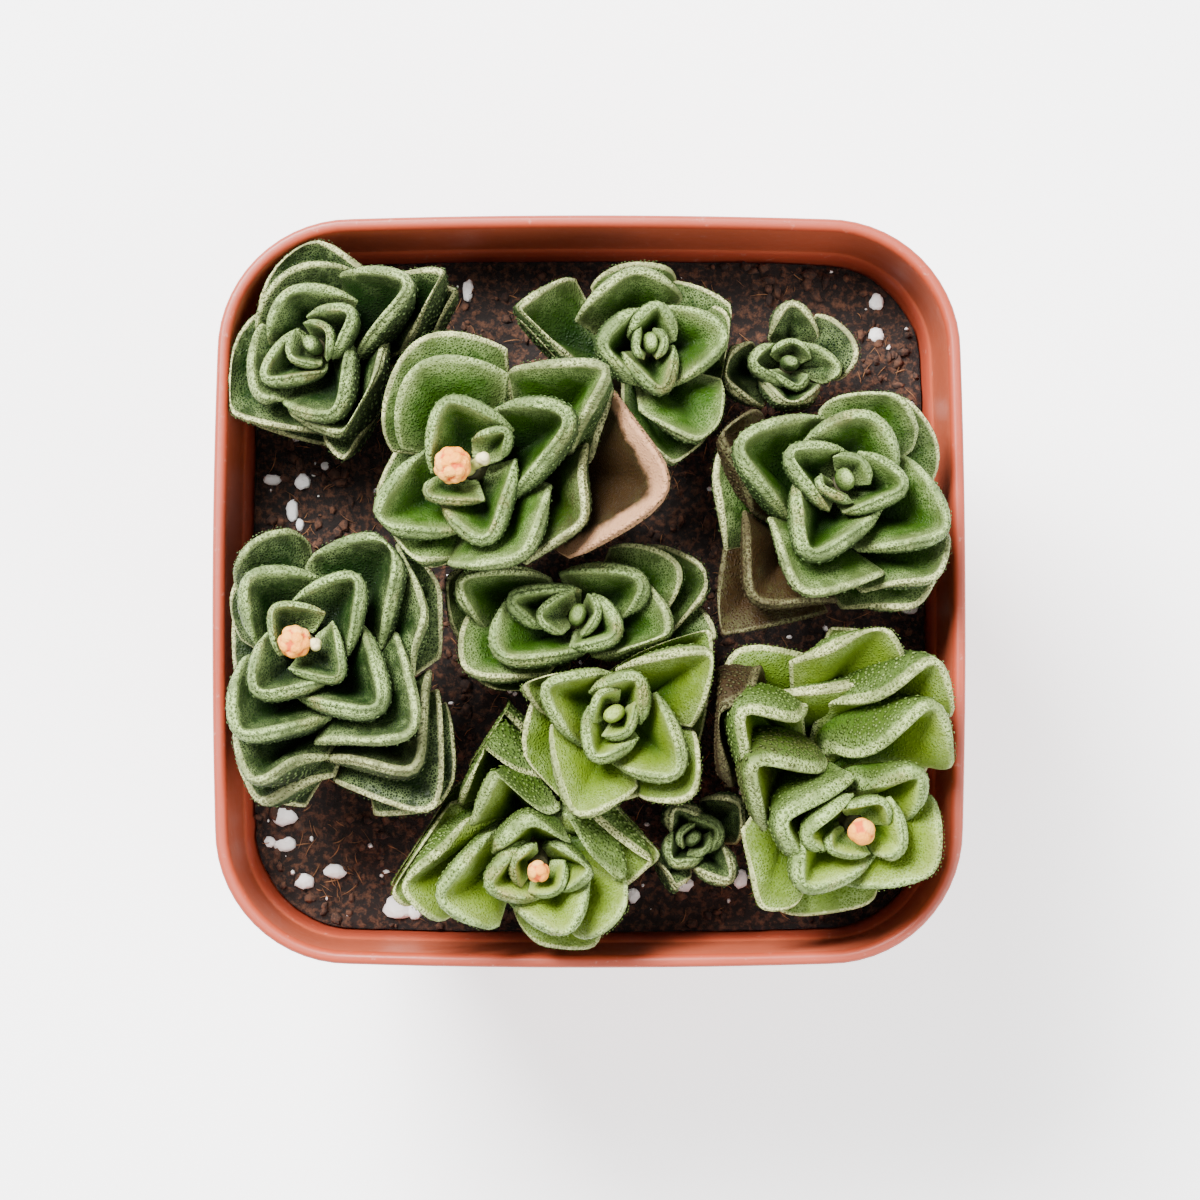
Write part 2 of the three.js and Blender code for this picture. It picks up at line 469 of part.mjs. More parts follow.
function makePot() {
  const ledge = POT_HEIGHT - COLLAR_HEIGHT;
  const bottom = LIP_HALF - COLLAR_DRAFT;
  const outer = [
    squareRing(FOOT_HALF - 0.6, cornerAt(0) - 0.6, 0),
    squareRing(FOOT_HALF, cornerAt(0), 0.8),
    squareRing(bottom - COLLAR_STEP, cornerAt(ledge) - COLLAR_STEP, ledge - 0.5),
    squareRing(bottom, cornerAt(ledge), ledge),
    squareRing(LIP_HALF - 0.35, LIP_CORNER - 0.35, POT_HEIGHT - 2.2),
    squareRing(LIP_HALF, LIP_CORNER, POT_HEIGHT - 1.7),
    squareRing(LIP_HALF, LIP_CORNER, POT_HEIGHT - 0.4),
    squareRing(LIP_HALF - 0.4, LIP_CORNER - 0.4, POT_HEIGHT),
  ];
  const wallInside = (z) => squareRing(potInside(z), cornerAt(z) - WALL - 1.2, z);
  const inner = [
    squareRing(potInside(FLOOR_TOP) - 0.8, cornerAt(FLOOR_TOP) - WALL - 2, FLOOR_TOP),
    wallInside(FLOOR_TOP + 1.2),
    wallInside(ledge - 0.3),
    squareRing(potInside(ledge), cornerAt(ledge) - WALL - 0.6, ledge + 0.1),
    squareRing(potInside(POT_HEIGHT - 0.6), LIP_CORNER - WALL - 0.5, POT_HEIGHT - 0.6),
    squareRing(LIP_HALF - LIP_WIDTH, LIP_CORNER - LIP_WIDTH, POT_HEIGHT + 0.01),
  ];
  const recess = FOOT_HALF - FOOT_RING;
  let pot = lofted(outer).subtract(lofted(inner));
  pot = pot.subtract(lofted([
    squareRing(recess, FOOT_CORNER - FOOT_RING, -1),
    squareRing(recess - 0.4, FOOT_CORNER - FOOT_RING - 0.4, FLOOR_RECESS),
  ]));
  for (const [x, y] of [[1, 1], [-1, 1], [-1, -1], [1, -1]]) {
    pot = pot.subtract(upright(x * DRAIN_AT, y * DRAIN_AT, DRAIN_RADIUS, -1, FLOOR_TOP + 1, 8));
  }
  return pot;
}

// Upright prism round a point
function upright(x, y, radius, low, high, sides) {
  const ring = (z) => Array.from({ length: sides }, (_, t) => {
    const a = 2 * Math.PI * t / sides;
    return [x + radius * Math.cos(a), y + radius * Math.sin(a), z];
  });
  return lofted([ring(low), ring(high)]);
}

// Turn of a stem from upright to its lean
function leanOf(head) {
  const t = rad(head.tilt);
  const a = rad(head.toward);
  const axis = new THREE.Vector3(-Math.sin(a), Math.cos(a), 0);
  return new THREE.Quaternion().setFromAxisAngle(axis, t);
}

// Sideways offset of the stem's axis at height z below its apex
function sideways(head, z) {
  const deep = Math.max(-z - 3, 0);
  const off = -head.bend * deep * deep / (deep * deep + 100);
  return [off * Math.cos(rad(head.toward)), off * Math.sin(rad(head.toward))];
}

// A point near the stem's own axis, bent with the older stem, leaned and set in the pot
function place(head, q) {
  const off = sideways(head, q[2]);
  const p = new THREE.Vector3(q[0] + off[0], q[1] + off[1], q[2]);
  p.applyQuaternion(leanOf(head));
  return [p.x + head.apex[0], p.y + head.apex[1], p.z + head.apex[2]];
}

// The point at a height beside the stem's own axis that shows at `seen` from above the lip
function unplaced(head, seen, height) {
  const lean = new THREE.Matrix4().makeRotationFromQuaternion(leanOf(head)).elements;
  const off = sideways(head, height);
  let z = head.apex[2] + height;
  let [x, y] = [0, 0];
  for (let i = 0; i < 4; i += 1) {
    const f = (EYE - z) / EYE_TO_LIP;
    const right = seen[0] * f - head.apex[0] - lean[8] * height;
    const back = (seen[1] + EYE_BACK) * f - EYE_BACK - head.apex[1] - lean[9] * height;
    const area = lean[0] * lean[5] - lean[4] * lean[1];
    x = (right * lean[5] - lean[4] * back) / area;
    y = (lean[0] * back - lean[1] * right) / area;
    z = head.apex[2] + lean[2] * x + lean[6] * y + lean[10] * height;
  }
  return [x - off[0], y - off[1]];
}

// Share of the way out and height of a leaf's face at w from root to tip
function profile(leaf, w) {
  const s = 0.55 * Math.hypot(leaf.reach - leaf.root, leaf.tip - leaf.base);
  const r1 = leaf.reach - s * Math.cos(leaf.slope);
  const z1 = leaf.tip - s * Math.sin(leaf.slope);
  const out = 2 * w * (1 - w) * (r1 - leaf.root) / (leaf.reach - leaf.root) + w * w;
  return [out, (1 - w) ** 2 * leaf.base + 2 * w * (1 - w) * z1 + w * w * leaf.tip];
}

// Where the margin ends in height at v across
function limitAt(v) {
  return 1 - DROP * Math.abs(v) ** 3.4;
}

// Sizes of a leaf. A measured one takes its corner and the ends of its margin from the table, any
// other one stands opposite its partner with a usual shape.
function roughLeaf(head, index, k, side) {
  const size = head.size;
  const at = clamp(k, 0, PAIRS.length - 1);
  const row = PAIRS[at];
  const leaf = {
    reach: row[0] * size,
    tip: row[1] * size,
    base: row[2] * size,
    thick: row[3] * size,
    slope: rad(row[5]),
    root: STEM_RADIUS * size * 0.7,
    cut: 0.35,
  };
  const measured = (s) => (SEEN[head.name] ?? []).find((m) => m[0] === k && m[1] === s);
  const own = measured(side);
  if (own) {
    leaf.tip += own[9] ?? 0;
    leaf.slope += rad(own[10] ?? 0);
    leaf.cut = own[8] ?? ROUND;
    leaf.corner = unplaced(head, [own[2], own[3]], leaf.tip);
    leaf.reach = Math.hypot(...leaf.corner);
    leaf.root = Math.min(leaf.root, 0.6 * leaf.reach);
    const low = profile(leaf, limitAt(1))[1];
    leaf.ends = [4, 6].map((i) => unplaced(head, [own[i], own[i + 1]], low));
  } else {
    let a = rad(head.turn + head.cross * (k % 2) + 8 * chance(index, k, side, 3)) + side * Math.PI;
    if (measured(1 - side)) {
      const other = roughLeaf(head, index, k, 1 - side);
      a = Math.atan2(other.corner[1], other.corner[0]) + Math.PI;
    }
    leaf.reach *= 1 + 0.05 * chance(index, k, side, 1);
    leaf.corner = [leaf.reach * Math.cos(a), leaf.reach * Math.sin(a)];
    leaf.ends = [-1, 1].map((s) => {
      const turn = a + s * rad(row[4]);
      return [0.74 * leaf.reach * Math.cos(turn), 0.74 * leaf.reach * Math.sin(turn)];
    });
  }
  return leaf;
}

// A leaf whose margin keeps clear of its partner's
function leafOf(head, index, k, side) {
  const leaf = roughLeaf(head, index, k, side);
  const other = roughLeaf(head, index, k, 1 - side);
  const way = Math.atan2(leaf.corner[1], leaf.corner[0]);
  const opposite = Math.atan2(other.corner[1], other.corner[0]);
  const turned = leaf.ends
    .map((end) => ({ end, turn: wrapped(Math.atan2(end[1], end[0]) - way) }))
    .sort((a, b) => a.turn - b.turn);
  leaf.ends = turned.map(({ end, turn }, i) => {
    const s = i === 0 ? -1 : 1;
    const gap = Math.PI + wrapped(s * (opposite - way) - Math.PI);
    const open = clamp(turn * s, rad(25), Math.min(rad(84), gap / 2 - rad(6)));
    const r = Math.max(Math.hypot(...end), 2.2 * leaf.root);
    return [r * Math.cos(way + s * open), r * Math.sin(way + s * open)];
  });
  return leaf;
}

// An angle from minus to plus half a turn
function wrapped(angle) {
  return angle - 2 * Math.PI * Math.floor(angle / (2 * Math.PI) + 0.5);
}

// Rises from 0 at x = -1 to 1 at x = 1, flat at first and steep in the end
function ramp(x, cut) {
  return (x + Math.hypot(x, cut) + 1 - Math.hypot(1, cut)) / 2;
}

// Upper face of a leaf at u from root to tip and v across, round the stem's own upright axis
function leafTop(leaf, u, v) {
  const g = ramp(0, leaf.cut);
  const [left, right] = [ramp(-v, leaf.cut), ramp(v, leaf.cut)];
  const rim = [0, 1].map((i) => {
    const corner = (leaf.corner[i] - g * (leaf.ends[0][i] + leaf.ends[1][i])) / (1 - 2 * g);
    return corner + (leaf.ends[0][i] - corner) * left + (leaf.ends[1][i] - corner) * right;
  });
  const phi = Math.atan2(rim[1], rim[0]);
  const limit = limitAt(v);
  const [out, z] = profile(leaf, u * limit);
  const share = out / profile(leaf, limit)[0] * (1 - 0.06 * v ** 8);
  const root = [leaf.root * Math.cos(phi), leaf.root * Math.sin(phi)];
  return [root[0] + (rim[0] - root[0]) * share, root[1] + (rim[1] - root[1]) * share, z];
}

// The stem's axis from its apex down to the mix
function axisOf(head) {
  const points = [];
  for (let d = 0; d <= 45; d += 0.5) {
    const p = place(head, [0, 0, -d]);
    if (p[2] < LEAF_FLOOR + 1.2) break;
    points.push(p);
  }
  return points;
}

const AXES = HEADS.map(axisOf);

// Dividing surfaces between neighbours: upright, but shifted at the top so that the taller stem
// reaches over the lower one. Leaves that would cross one bend back along it.
const DIVIDERS = PRESSES.map(({ pair, at, way, level, over }) => {
  const f = (EYE - level) / EYE_TO_LIP;
  return {
    i: HEADS.findIndex((head) => head.name === pair[0]),
    j: HEADS.findIndex((head) => head.name === pair[1]),
    at: [at[0] * f, (at[1] + EYE_BACK) * f - EYE_BACK],
    way: rad(way),
    level,
    over,
  };
});

// How far a point lies past a dividing surface, seen from stem `index`
function past(divider, index, p) {
  const [x, y] = [p[0] - divider.at[0], p[1] - divider.at[1]];
  const across = x * Math.cos(divider.way) + y * Math.sin(divider.way);
  const d = across - divider.over * Math.tanh((p[2] - divider.level) / REACH_HEIGHT);
  return (divider.i === index ? d : -d) + PRESS_GAP;
}

// Distance past a limit, eased so that it never passes it
function eased(d, soft) {
  if (soft === 0) return Math.min(d, 0);
  return d > -soft ? -soft * Math.exp(-(d + soft) / soft) : d;
}

// A leaf point bent clear of the mix, the neighbours and the pot's wall
function clearOf(index, q) {
  const p = [...q];
  const low = LEAF_FLOOR - p[2];
  p[2] -= eased(low, FLOOR_SOFT) - low;
  for (const soft of [PRESS_SOFT, 0, 0]) {
    for (const divider of DIVIDERS) {
      if (divider.i !== index && divider.j !== index) continue;
      const d = past(divider, index, p);
      const m = (eased(d, soft) - d) * (divider.i === index ? 1 : -1);
      p[0] += m * Math.cos(divider.way);
      p[1] += m * Math.sin(divider.way);
    }
  }
  const s = p[2] < 71 ? 46.0 : 46.9 + (Math.min(p[2], 86) - 71) * 0.09;
  const r = 17;
  const c = [Math.abs(p[0]) - (s - r), Math.abs(p[1]) - (s - r)];
  const out = [Math.max(c[0], 0), Math.max(c[1], 0)];
  const length = Math.hypot(...out);
  const d = length + Math.min(Math.max(c[0], c[1]), 0) - r;
  const m = eased(d, WALL_SOFT) - d;
  let g = c[0] > c[1] ? [1, 0] : [0, 1];
  if (length > 1e-9) g = [out[0] / length, out[1] / length];
  p[0] += m * g[0] * Math.sign(p[0]);
  p[1] += m * g[1] * Math.sign(p[1]);
  return p;
}

// Where a stem meets the mix
function footOf(index) {
  const axis = AXES[index];
  return axis[axis.length - 1];
}

// Upper face of a leaf pair as three rings: the groove at its root, half way up and the margin.
// The two leaves of a pair are grown together round the stem, with a notch between them.
function cup(head, index, k) {
  const leaves = [leafOf(head, index, k, 0), leafOf(head, index, k, 1)];
  const rows = [[], [], []];
  for (let t = 0; t < AROUND; t += 1) {
    const step = ((t + QUARTER) % (2 * QUARTER)) - QUARTER;
    rows.forEach((row, level) => {
      const share = [0, 0.5, 1][level];
      if (step === -QUARTER) {
        const w = ROOT + (NOTCH - ROOT) * share;
        const pair = t === QUARTER ? [leaves[0], leaves[1]] : [leaves[1], leaves[0]];
        const a = leafPoint(pair[0], w / (1 - DROP), 1);
        const b = leafPoint(pair[1], w / (1 - DROP), -1);
        const at = between(a.at, b.at);
        row.push({
          at,
          normal: new THREE.Vector3(-at.x, -at.y, 1.6 * Math.hypot(at.x, at.y)).normalize(),
          thick: 0.3 * leaves[0].thick,
          swell: 0,
        });
      } else {
        const leaf = t < QUARTER || t > 3 * QUARTER ? leaves[0] : leaves[1];
        const v = step * SIDE_AT;
        const u = level === 0 ? ROOT / limitAt(v) : level === 1 ? 0.62 : 1;
        row.push(leafPoint(leaf, u, v));
      }
    });
  }
  return rows;
}

// The point half way round the axis from a to b
function between(a, b) {
  const from = Math.atan2(a.y, a.x);
  const turn = Math.PI + wrapped(Math.atan2(b.y, b.x) - from - Math.PI);
  const r = (Math.hypot(a.x, a.y) + Math.hypot(b.x, b.y)) / 2;
  const way = from + turn / 2;
  return new THREE.Vector3(r * Math.cos(way), r * Math.sin(way), (a.z + b.z) / 2);
}

// Where a ring round the axis lies in the direction of a point
function ringToward(ring, point) {
  const way = Math.atan2(point.y, point.x);
  for (let i = 0; i < ring.length; i += 1) {
    const a = ring[i].at;
    const b = ring[(i + 1) % ring.length].at;
    const from = wrapped(way - Math.atan2(a.y, a.x));
    const span = wrapped(Math.atan2(b.y, b.x) - Math.atan2(a.y, a.x));
    if (from >= 0 && from <= span) return a.clone().lerp(b, from / Math.max(span, 1e-6));
  }
  return ring[0].at.clone();
}

function leafPoint(leaf, u, v) {
  const e = 0.02;
  const at = new THREE.Vector3(...leafTop(leaf, u, v));
  const du = new THREE.Vector3(...leafTop(leaf, u + e, v)).sub(new THREE.Vector3(...leafTop(leaf, u - e, v)));
  const dv = new THREE.Vector3(...leafTop(leaf, u, v + e)).sub(new THREE.Vector3(...leafTop(leaf, u, v - e)));
  const round = Math.sqrt(Math.max(0, 1 - v ** 4)) * Math.sqrt(Math.max(0, 1 - u ** 6));
  return {
    at,
    normal: du.cross(dv).normalize(),
    thick: leaf.thick * (0.30 + 0.70 * round),
    swell: 0.22 * leaf.thick * Math.sin(Math.PI * Math.abs(v)) * (1 - u ** 4),
  };
}

// Distance from a point to a line of points
function distanceTo(point, line) {
  let best = Infinity;
  for (let i = 0; i + 1 < line.length; i += 1) {
    const near = new THREE.Line3(line[i], line[i + 1]).closestPointToPoint(point, true, new THREE.Vector3());
    best = Math.min(best, near.distanceTo(point));
  }
  return best;
}

// A leaf pair as one closed cup: from the groove up the faces, over the margin and down the backs.
// Only the pairs next to the youngest one need a ring half way up.
function cupSolid(head, index, k, rows, next) {
  const size = head.size;
  const face = rows.map((row) => row.map((q) => q.at.clone().addScaledVector(q.normal, q.swell)));
  const back = [2, 1].map((level) => rows[level].map((q) => {
    const least = level === 2 ? EDGE_MIN : EDGE_MIN * 1.2;
    const room = next ? SHARE * distanceTo(q.at, next.map((row) => ringToward(row, q.at))) : Infinity;
    return q.at.clone().addScaledVector(q.normal, -Math.max(Math.min(q.thick, room), least));
  }));
  const low = Math.min(...rows[0].map((q) => q.at.z)) - 1.2;
  const under = next ? Math.min(low, Math.min(...next[0].map((q) => q.at.z)) - SINK) : low - 1.2 * size;
  const root = rows[0].map((q) => new THREE.Vector3(q.at.x * ROOT_IN, q.at.y * ROOT_IN, under));
  const loops = k === 0 || k >= FLAT_FROM ? [face[0], face[2], back[0], root] : [...face, ...back, root];
  const rings = loops.map((loop) => loop.map((q) => clearOf(index, place(head, q.toArray()))));
  const quarter = (t) => Math.floor(t * 4 / AROUND) % 2 === 1;
  const ends = [low + 0.9, under].map((z) => clearOf(index, place(head, [0, 0, z])));
  return lofted(rings, (i, t) => quarter(t) !== (i > loops.length / 2 - 1), ends);
}

function circleOf(head, radius) {
  return Array.from({ length: STEM_SIDES }, (_, t) => {
    const a = rad(head.turn) + 2 * Math.PI * t / STEM_SIDES;
    return [radius * Math.cos(a), radius * Math.sin(a)];
  });
}

// The stem, from inside the oldest cup down its bent axis and into the mix
function stemSolid(head, index, oldest) {
  const size = head.size;
  const foot = footOf(index);
  const end = AXES[index].length * 0.5 - 1.2;
  const top = -oldest[0].reduce((sum, q) => sum + q.at.z, 0) / AROUND + 0.6;
  const rings = [0, 1].map((share) => {
    const d = top + (end - top) * share;
    const r = STEM_RADIUS * size * (share === 0 ? 0.9 : 1);
    return circleOf(head, r).map((q) => place(head, [q[0], q[1], -d]));
  });
  for (const z of [SOIL_TOP + 0.9, SOIL_TOP - STEM_DEPTH]) {
    rings.push(circleOf(head, STEM_RADIUS * size).map((q) => [q[0] + foot[0], q[1] + foot[1], z]));
  }
  return lofted(rings);
}

// The youngest leaves, still closed on each other
function tipSolid(head) {
  return lofted(TIP.map(([r, z]) => Array.from({ length: STEM_SIDES }, (_, t) => {
    const a = 2 * Math.PI * t / STEM_SIDES;
    const far = r * head.size;
    return place(head, [far * Math.cos(a), far * Math.sin(a), z * head.size]);
  })));
}

function makeHead(head, index) {
  const cups = Array.from({ length: head.pairs }, (_, k) => cup(head, index, k));
  const solids = cups.map((rows, k) => cupSolid(head, index, k, rows, cups[k + 1]));
  if (!head.bud) solids.push(tipSolid(head));
  return joined([...solids, stemSolid(head, index, cups[cups.length - 1])]);
}

// Bud cluster: a short stalk with a crown of small buds, and a single bud beside it
function budCluster(head, index, extra) {
  const [width, dx, dy] = head.bud;
  const size = width / 2;
  const buds = [];
  const ball = (x, y, z, r) => {
    const geometry = new THREE.IcosahedronGeometry(r + extra, 0);
    geometry.deleteAttribute('normal');
    geometry.deleteAttribute('uv');
    const merged = mergeVertices(geometry, 1e-5);
    const at = merged.attributes.position;
    const points = [];
    for (let i = 0; i < at.count; i += 1) {
      points.push(place(head, [at.getX(i) + x, at.getY(i) + y, at.getZ(i) * 1.15 + z]));
    }
    const index3 = Array.from(merged.index.array);
    const triangles = [];
    for (let i = 0; i < index3.length; i += 3) triangles.push(index3.slice(i, i + 3));
    buds.push(solid(points, triangles));
  };
  for (let t = 0; t < 3; t += 1) {
    const a = 2 * Math.PI * (t / 3 + 0.06 * chance(index, t, 7));
    const lift = size * (0.35 + 0.25 * chance(index, t, 8));
    ball(dx + size * 0.45 * Math.cos(a), dy + size * 0.45 * Math.sin(a), lift, size * 0.56);
  }
  const low = -(BUD_SEAT * head.size - 0.3) - extra;
  const stalk = (r, x, y, z) => Array.from({ length: 5 }, (_, t) => {
    const a = 2 * Math.PI * t / 5;
    return place(head, [x + (r + extra) * Math.cos(a), y + (r + extra) * Math.sin(a), z]);
  });
  buds.push(lofted([stalk(size * 0.3, 0, 0, low), stalk(size * 0.4, dx, dy, size * 0.4)]));
  if (head.small) {
    const [x, y, r] = head.small;
    ball(x, y, 0.4, r);
    buds.push(lofted([stalk(r * 0.6, 0, 0, low + 0.2), stalk(r * 0.6, x, y, 0.2)]));
  }
  return joined(buds);
}

// Gentle unevenness of the mix
function relief(x, y) {
  const broad = 0.6 * Math.sin(0.31 * x + 1.3) * Math.cos(0.27 * y);
  return SOIL_RELIEF * (broad + 0.4 * Math.sin(0.53 * y - 0.4 * x));
}

function makeSoil() {
  const inside = (z) => potInside(z) - SOIL_CLEAR;
  const edge = (z, drop) => squareRing(inside(z), cornerAt(z) - WALL - 1.2, z - drop);
  const rings = [
    squareRing(inside(FLOOR_TOP + 1.2) - 1.2, cornerAt(FLOOR_TOP) - WALL - 2.6, FLOOR_TOP),
    edge(FLOOR_TOP + 1.4, 0),
    edge(SOIL_TOP - 0.5, 0),
  ];
  const top = edge(SOIL_TOP, 0);
  for (const scale of [0.985, 0.8, 0.5]) {
    rings.push(top.map(([x, y]) => {
      const [px, py] = [x * scale, y * scale];
      return [px, py, SOIL_TOP + relief(px, py) - (scale > 0.9 ? 0.2 : 0)];
    }));
  }
  const n = top.length;
  const points = rings.flat();
  const triangles = [];
  for (let i = 0; i + 1 < rings.length; i += 1) {
    for (let t = 0; t < n; t += 1) {
      const a = i * n + t;
      const b = i * n + (t + 1) % n;
      triangles.push([a, b, b + n], [a, b + n, a + n]);
    }
  }
  const last = (rings.length - 1) * n;
  points.push([0, 0, SOIL_TOP + relief(0, 0)]);
  for (let t = 1; t + 1 < n; t += 1) triangles.push([0, t + 1, t]);
  for (let t = 0; t < n; t += 1) triangles.push([last + t, last + (t + 1) % n, points.length - 1]);
  let soil = solid(points, triangles);
  HEADS.forEach((head, index) => {
    const foot = footOf(index);
    const radius = STEM_RADIUS * head.size + HOLE_CLEAR;
    soil = soil.subtract(upright(foot[0], foot[1], radius, SOIL_TOP - STEM_DEPTH - 0.4, SOIL_TOP + 5, 7));
  });
  PERLITE.forEach(([x, y, r], index) => {
    const geometry = new THREE.IcosahedronGeometry(r, 0);
    geometry.deleteAttribute('normal');
    geometry.deleteAttribute('uv');
    const merged = mergeVertices(geometry, 1e-5);
    const at = merged.attributes.position;
    const lump = [];
    for (let i = 0; i < at.count; i += 1) {
      const f = 1 + 0.14 * chance(index, i, 9);
      lump.push([x + at.getX(i) * f, y + at.getY(i) * f, SOIL_TOP + 0.1 + at.getZ(i) * Math.min(1, 1.1 / r)]);
    }
    const flat = Array.from(merged.index.array);
    const faces = [];
    for (let i = 0; i < flat.length; i += 3) faces.push(flat.slice(i, i + 3));
    soil = soil.add(solid(lump, faces));
  });
  return soil;
}

// Finishes
const FINISH = {
  pot: { color: 0xb85638, roughness: 0.5 },
  soil: { color: 0x2b1d15, roughness: 0.95 },
  leaf: { color: 0x5f8f4a, roughness: 0.6 },
  dark: { color: 0x3c6240, roughness: 0.6 },
  bright: { color: 0x86b04e, roughness: 0.55 },
  bud: { color: 0xeda184, roughness: 0.6 },
};
const DARK = ['stem_back_left', 'stem_back_right', 'stem_front_small', 'stem_left'];
const BRIGHT = ['stem_front_centre', 'stem_front', 'stem_front_right'];

function named(name, body, finish) {
  const material = new THREE.MeshStandardMaterial({ ...finish, metalness: 0 });
  const mesh = new THREE.Mesh(outerBody(body), material);
  mesh.name = name;
  return mesh;
}

const group = new THREE.Group();
group.add(named('pot', makePot(), FINISH.pot));
group.add(named('soil', makeSoil(), FINISH.soil));
HEADS.forEach((head, index) => {
  let body = makeHead(head, index);
  if (head.bud) {
    body = body.subtract(budCluster(head, index, 0.3));
    group.add(named(head.name.replace('stem', 'bud'), budCluster(head, index, 0), FINISH.bud));
  }
  let finish = FINISH.leaf;
  if (DARK.includes(head.name)) finish = FINISH.dark;
  if (BRIGHT.includes(head.name)) finish = FINISH.bright;
  group.add(named(head.name, body, finish));
});

export default group;
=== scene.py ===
"""Potted crassula: a square nursery pot with potting mix, eleven leafy stems and four bud clusters.

Every surface is a function of two parameters worked out with numpy, in millimetres, and lies where
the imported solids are. Run as a script in Blender 4.5.
"""

import math
from typing import NamedTuple

import bpy
import numpy as np
from bpy.props import FloatProperty, FloatVectorProperty, IntProperty, PointerProperty
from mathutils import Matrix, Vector


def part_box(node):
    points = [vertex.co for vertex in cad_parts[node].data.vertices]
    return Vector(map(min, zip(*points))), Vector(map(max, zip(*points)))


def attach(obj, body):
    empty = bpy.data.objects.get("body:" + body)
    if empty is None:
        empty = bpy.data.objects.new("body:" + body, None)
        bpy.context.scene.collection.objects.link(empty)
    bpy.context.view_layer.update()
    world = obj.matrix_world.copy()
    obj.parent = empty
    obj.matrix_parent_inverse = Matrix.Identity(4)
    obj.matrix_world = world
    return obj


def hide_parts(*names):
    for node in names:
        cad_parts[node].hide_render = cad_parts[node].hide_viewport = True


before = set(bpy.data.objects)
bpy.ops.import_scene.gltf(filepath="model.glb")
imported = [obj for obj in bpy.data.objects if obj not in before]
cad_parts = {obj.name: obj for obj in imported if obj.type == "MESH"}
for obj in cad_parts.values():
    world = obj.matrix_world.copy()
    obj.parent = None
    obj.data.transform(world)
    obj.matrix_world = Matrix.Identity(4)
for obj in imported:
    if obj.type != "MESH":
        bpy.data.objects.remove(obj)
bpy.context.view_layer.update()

bl_info = {
    "name": "Potted Crassula",
    "version": (1, 0, 0),
    "blender": (4, 5, 0),
    "location": "3D View > Sidebar > Crassula",
    "description": "Builds a potted crassula with its pot, potting mix, leafy stems and buds",
    "category": "Object",
}

MM = 0.001
SEED = 1187


def colour(red, green, blue):
    """Linear colour of a screen colour given from 0 to 255."""
    parts = [c / 255 for c in (red, green, blue)]
    return tuple(c / 12.92 if c < 0.04045 else ((c + 0.055) / 1.055) ** 2.4 for c in parts)


# ------------------------------------------------------------------------------------------
# Sizes that the pot, the mix and the stems share, in millimetres
# ------------------------------------------------------------------------------------------

POT_HIGH = np.array(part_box("pot")[1]) / MM
POT_HEIGHT = POT_HIGH[2]
SIDE_BULGE = 0.5
LIP_HALF = POT_HIGH[0] - SIDE_BULGE
LIP_CORNER = 18
LIP_WIDTH = 1.2
COLLAR_HEIGHT = 15
COLLAR_DRAFT = 0.6
COLLAR_STEP = 1.1
WALL = 1.2
FOOT_HALF = 36.7
FOOT_CORNER = 11
FLOOR_TOP = 2.4
FLOOR_RECESS = 1.0
FOOT_RING = 3
LEDGE = POT_HEIGHT - COLLAR_HEIGHT

SOIL_TOP = 66.9
SOIL_CLEAR = 0.35
SOIL_RELIEF = 0.32
STEM_DEPTH = 9
BUD_SEAT = 2.6

STEM_RADIUS = 2.2
LEAF_FLOOR = 68.5
PRESS_GAP = 0.22
PRESS_SOFT = 1.3
WALL_SOFT = 1.5
FLOOR_SOFT = 1.2
REACH_HEIGHT = 4
DROP = 0.40

# Room for the leaves inside the pot: half width up to the collar, and from there on the half
# width, its growth per millimetre, where it starts and where it ends, and the corner radius
ROOM_LOW = 46.0
ROOM_HIGH, ROOM_GROWTH, ROOM_START, ROOM_END = 46.9, 0.09, 71, 86
ROOM_CORNER = 17

# Eye of the measured plan: its height over the foot and over the lip, and how far it stands back
EYE = 534.6
EYE_TO_LIP = 449.6
EYE_BACK = 19.6

# Leaf pairs of a full-size stem, from the youngest outwards:
# reach, tip height, root height, thickness, half angle and slope at the tip
PAIRS = (
    (3, 1.5, -3, 1.3, 80, 84),
    (5.6, 2, -5.2, 2.1, 78, 80),
    (8.6, 1.8, -7.6, 2.7, 76, 75),
    (11.6, 1, -10.2, 3, 73, 68),
    (14.4, -0.6, -12.9, 3, 70, 58),
    (16.6, -2.8, -15.7, 2.9, 68, 46),
    (17.6, -5.4, -18.5, 2.8, 66, 34),
    (18, -8.4, -21.3, 2.8, 64, 24),
    (18, -11.4, -24.1, 2.7, 63, 14),
    (18, -14.6, -26.9, 2.6, 62, 6),
    (17.5, -17.8, -29.7, 2.5, 61, 0),
)


class Stem(NamedTuple):
    """One leafy stem: its apex, lean and way of leaning, sideways bend of the older part, way of
    the first pair's keel, angle between crossing pairs, number of pairs and size. `bud` is the
    diameter of a bud cluster, its place beside the apex and its number of bumps, `small` the
    place and radius of a single bud next to it."""

    node: str
    apex: tuple
    tilt: float
    toward: float
    bend: float
    turn: float
    cross: float
    pairs: int
    size: float
    bud: tuple = ()
    small: tuple = ()
    slot: str = "leaf"


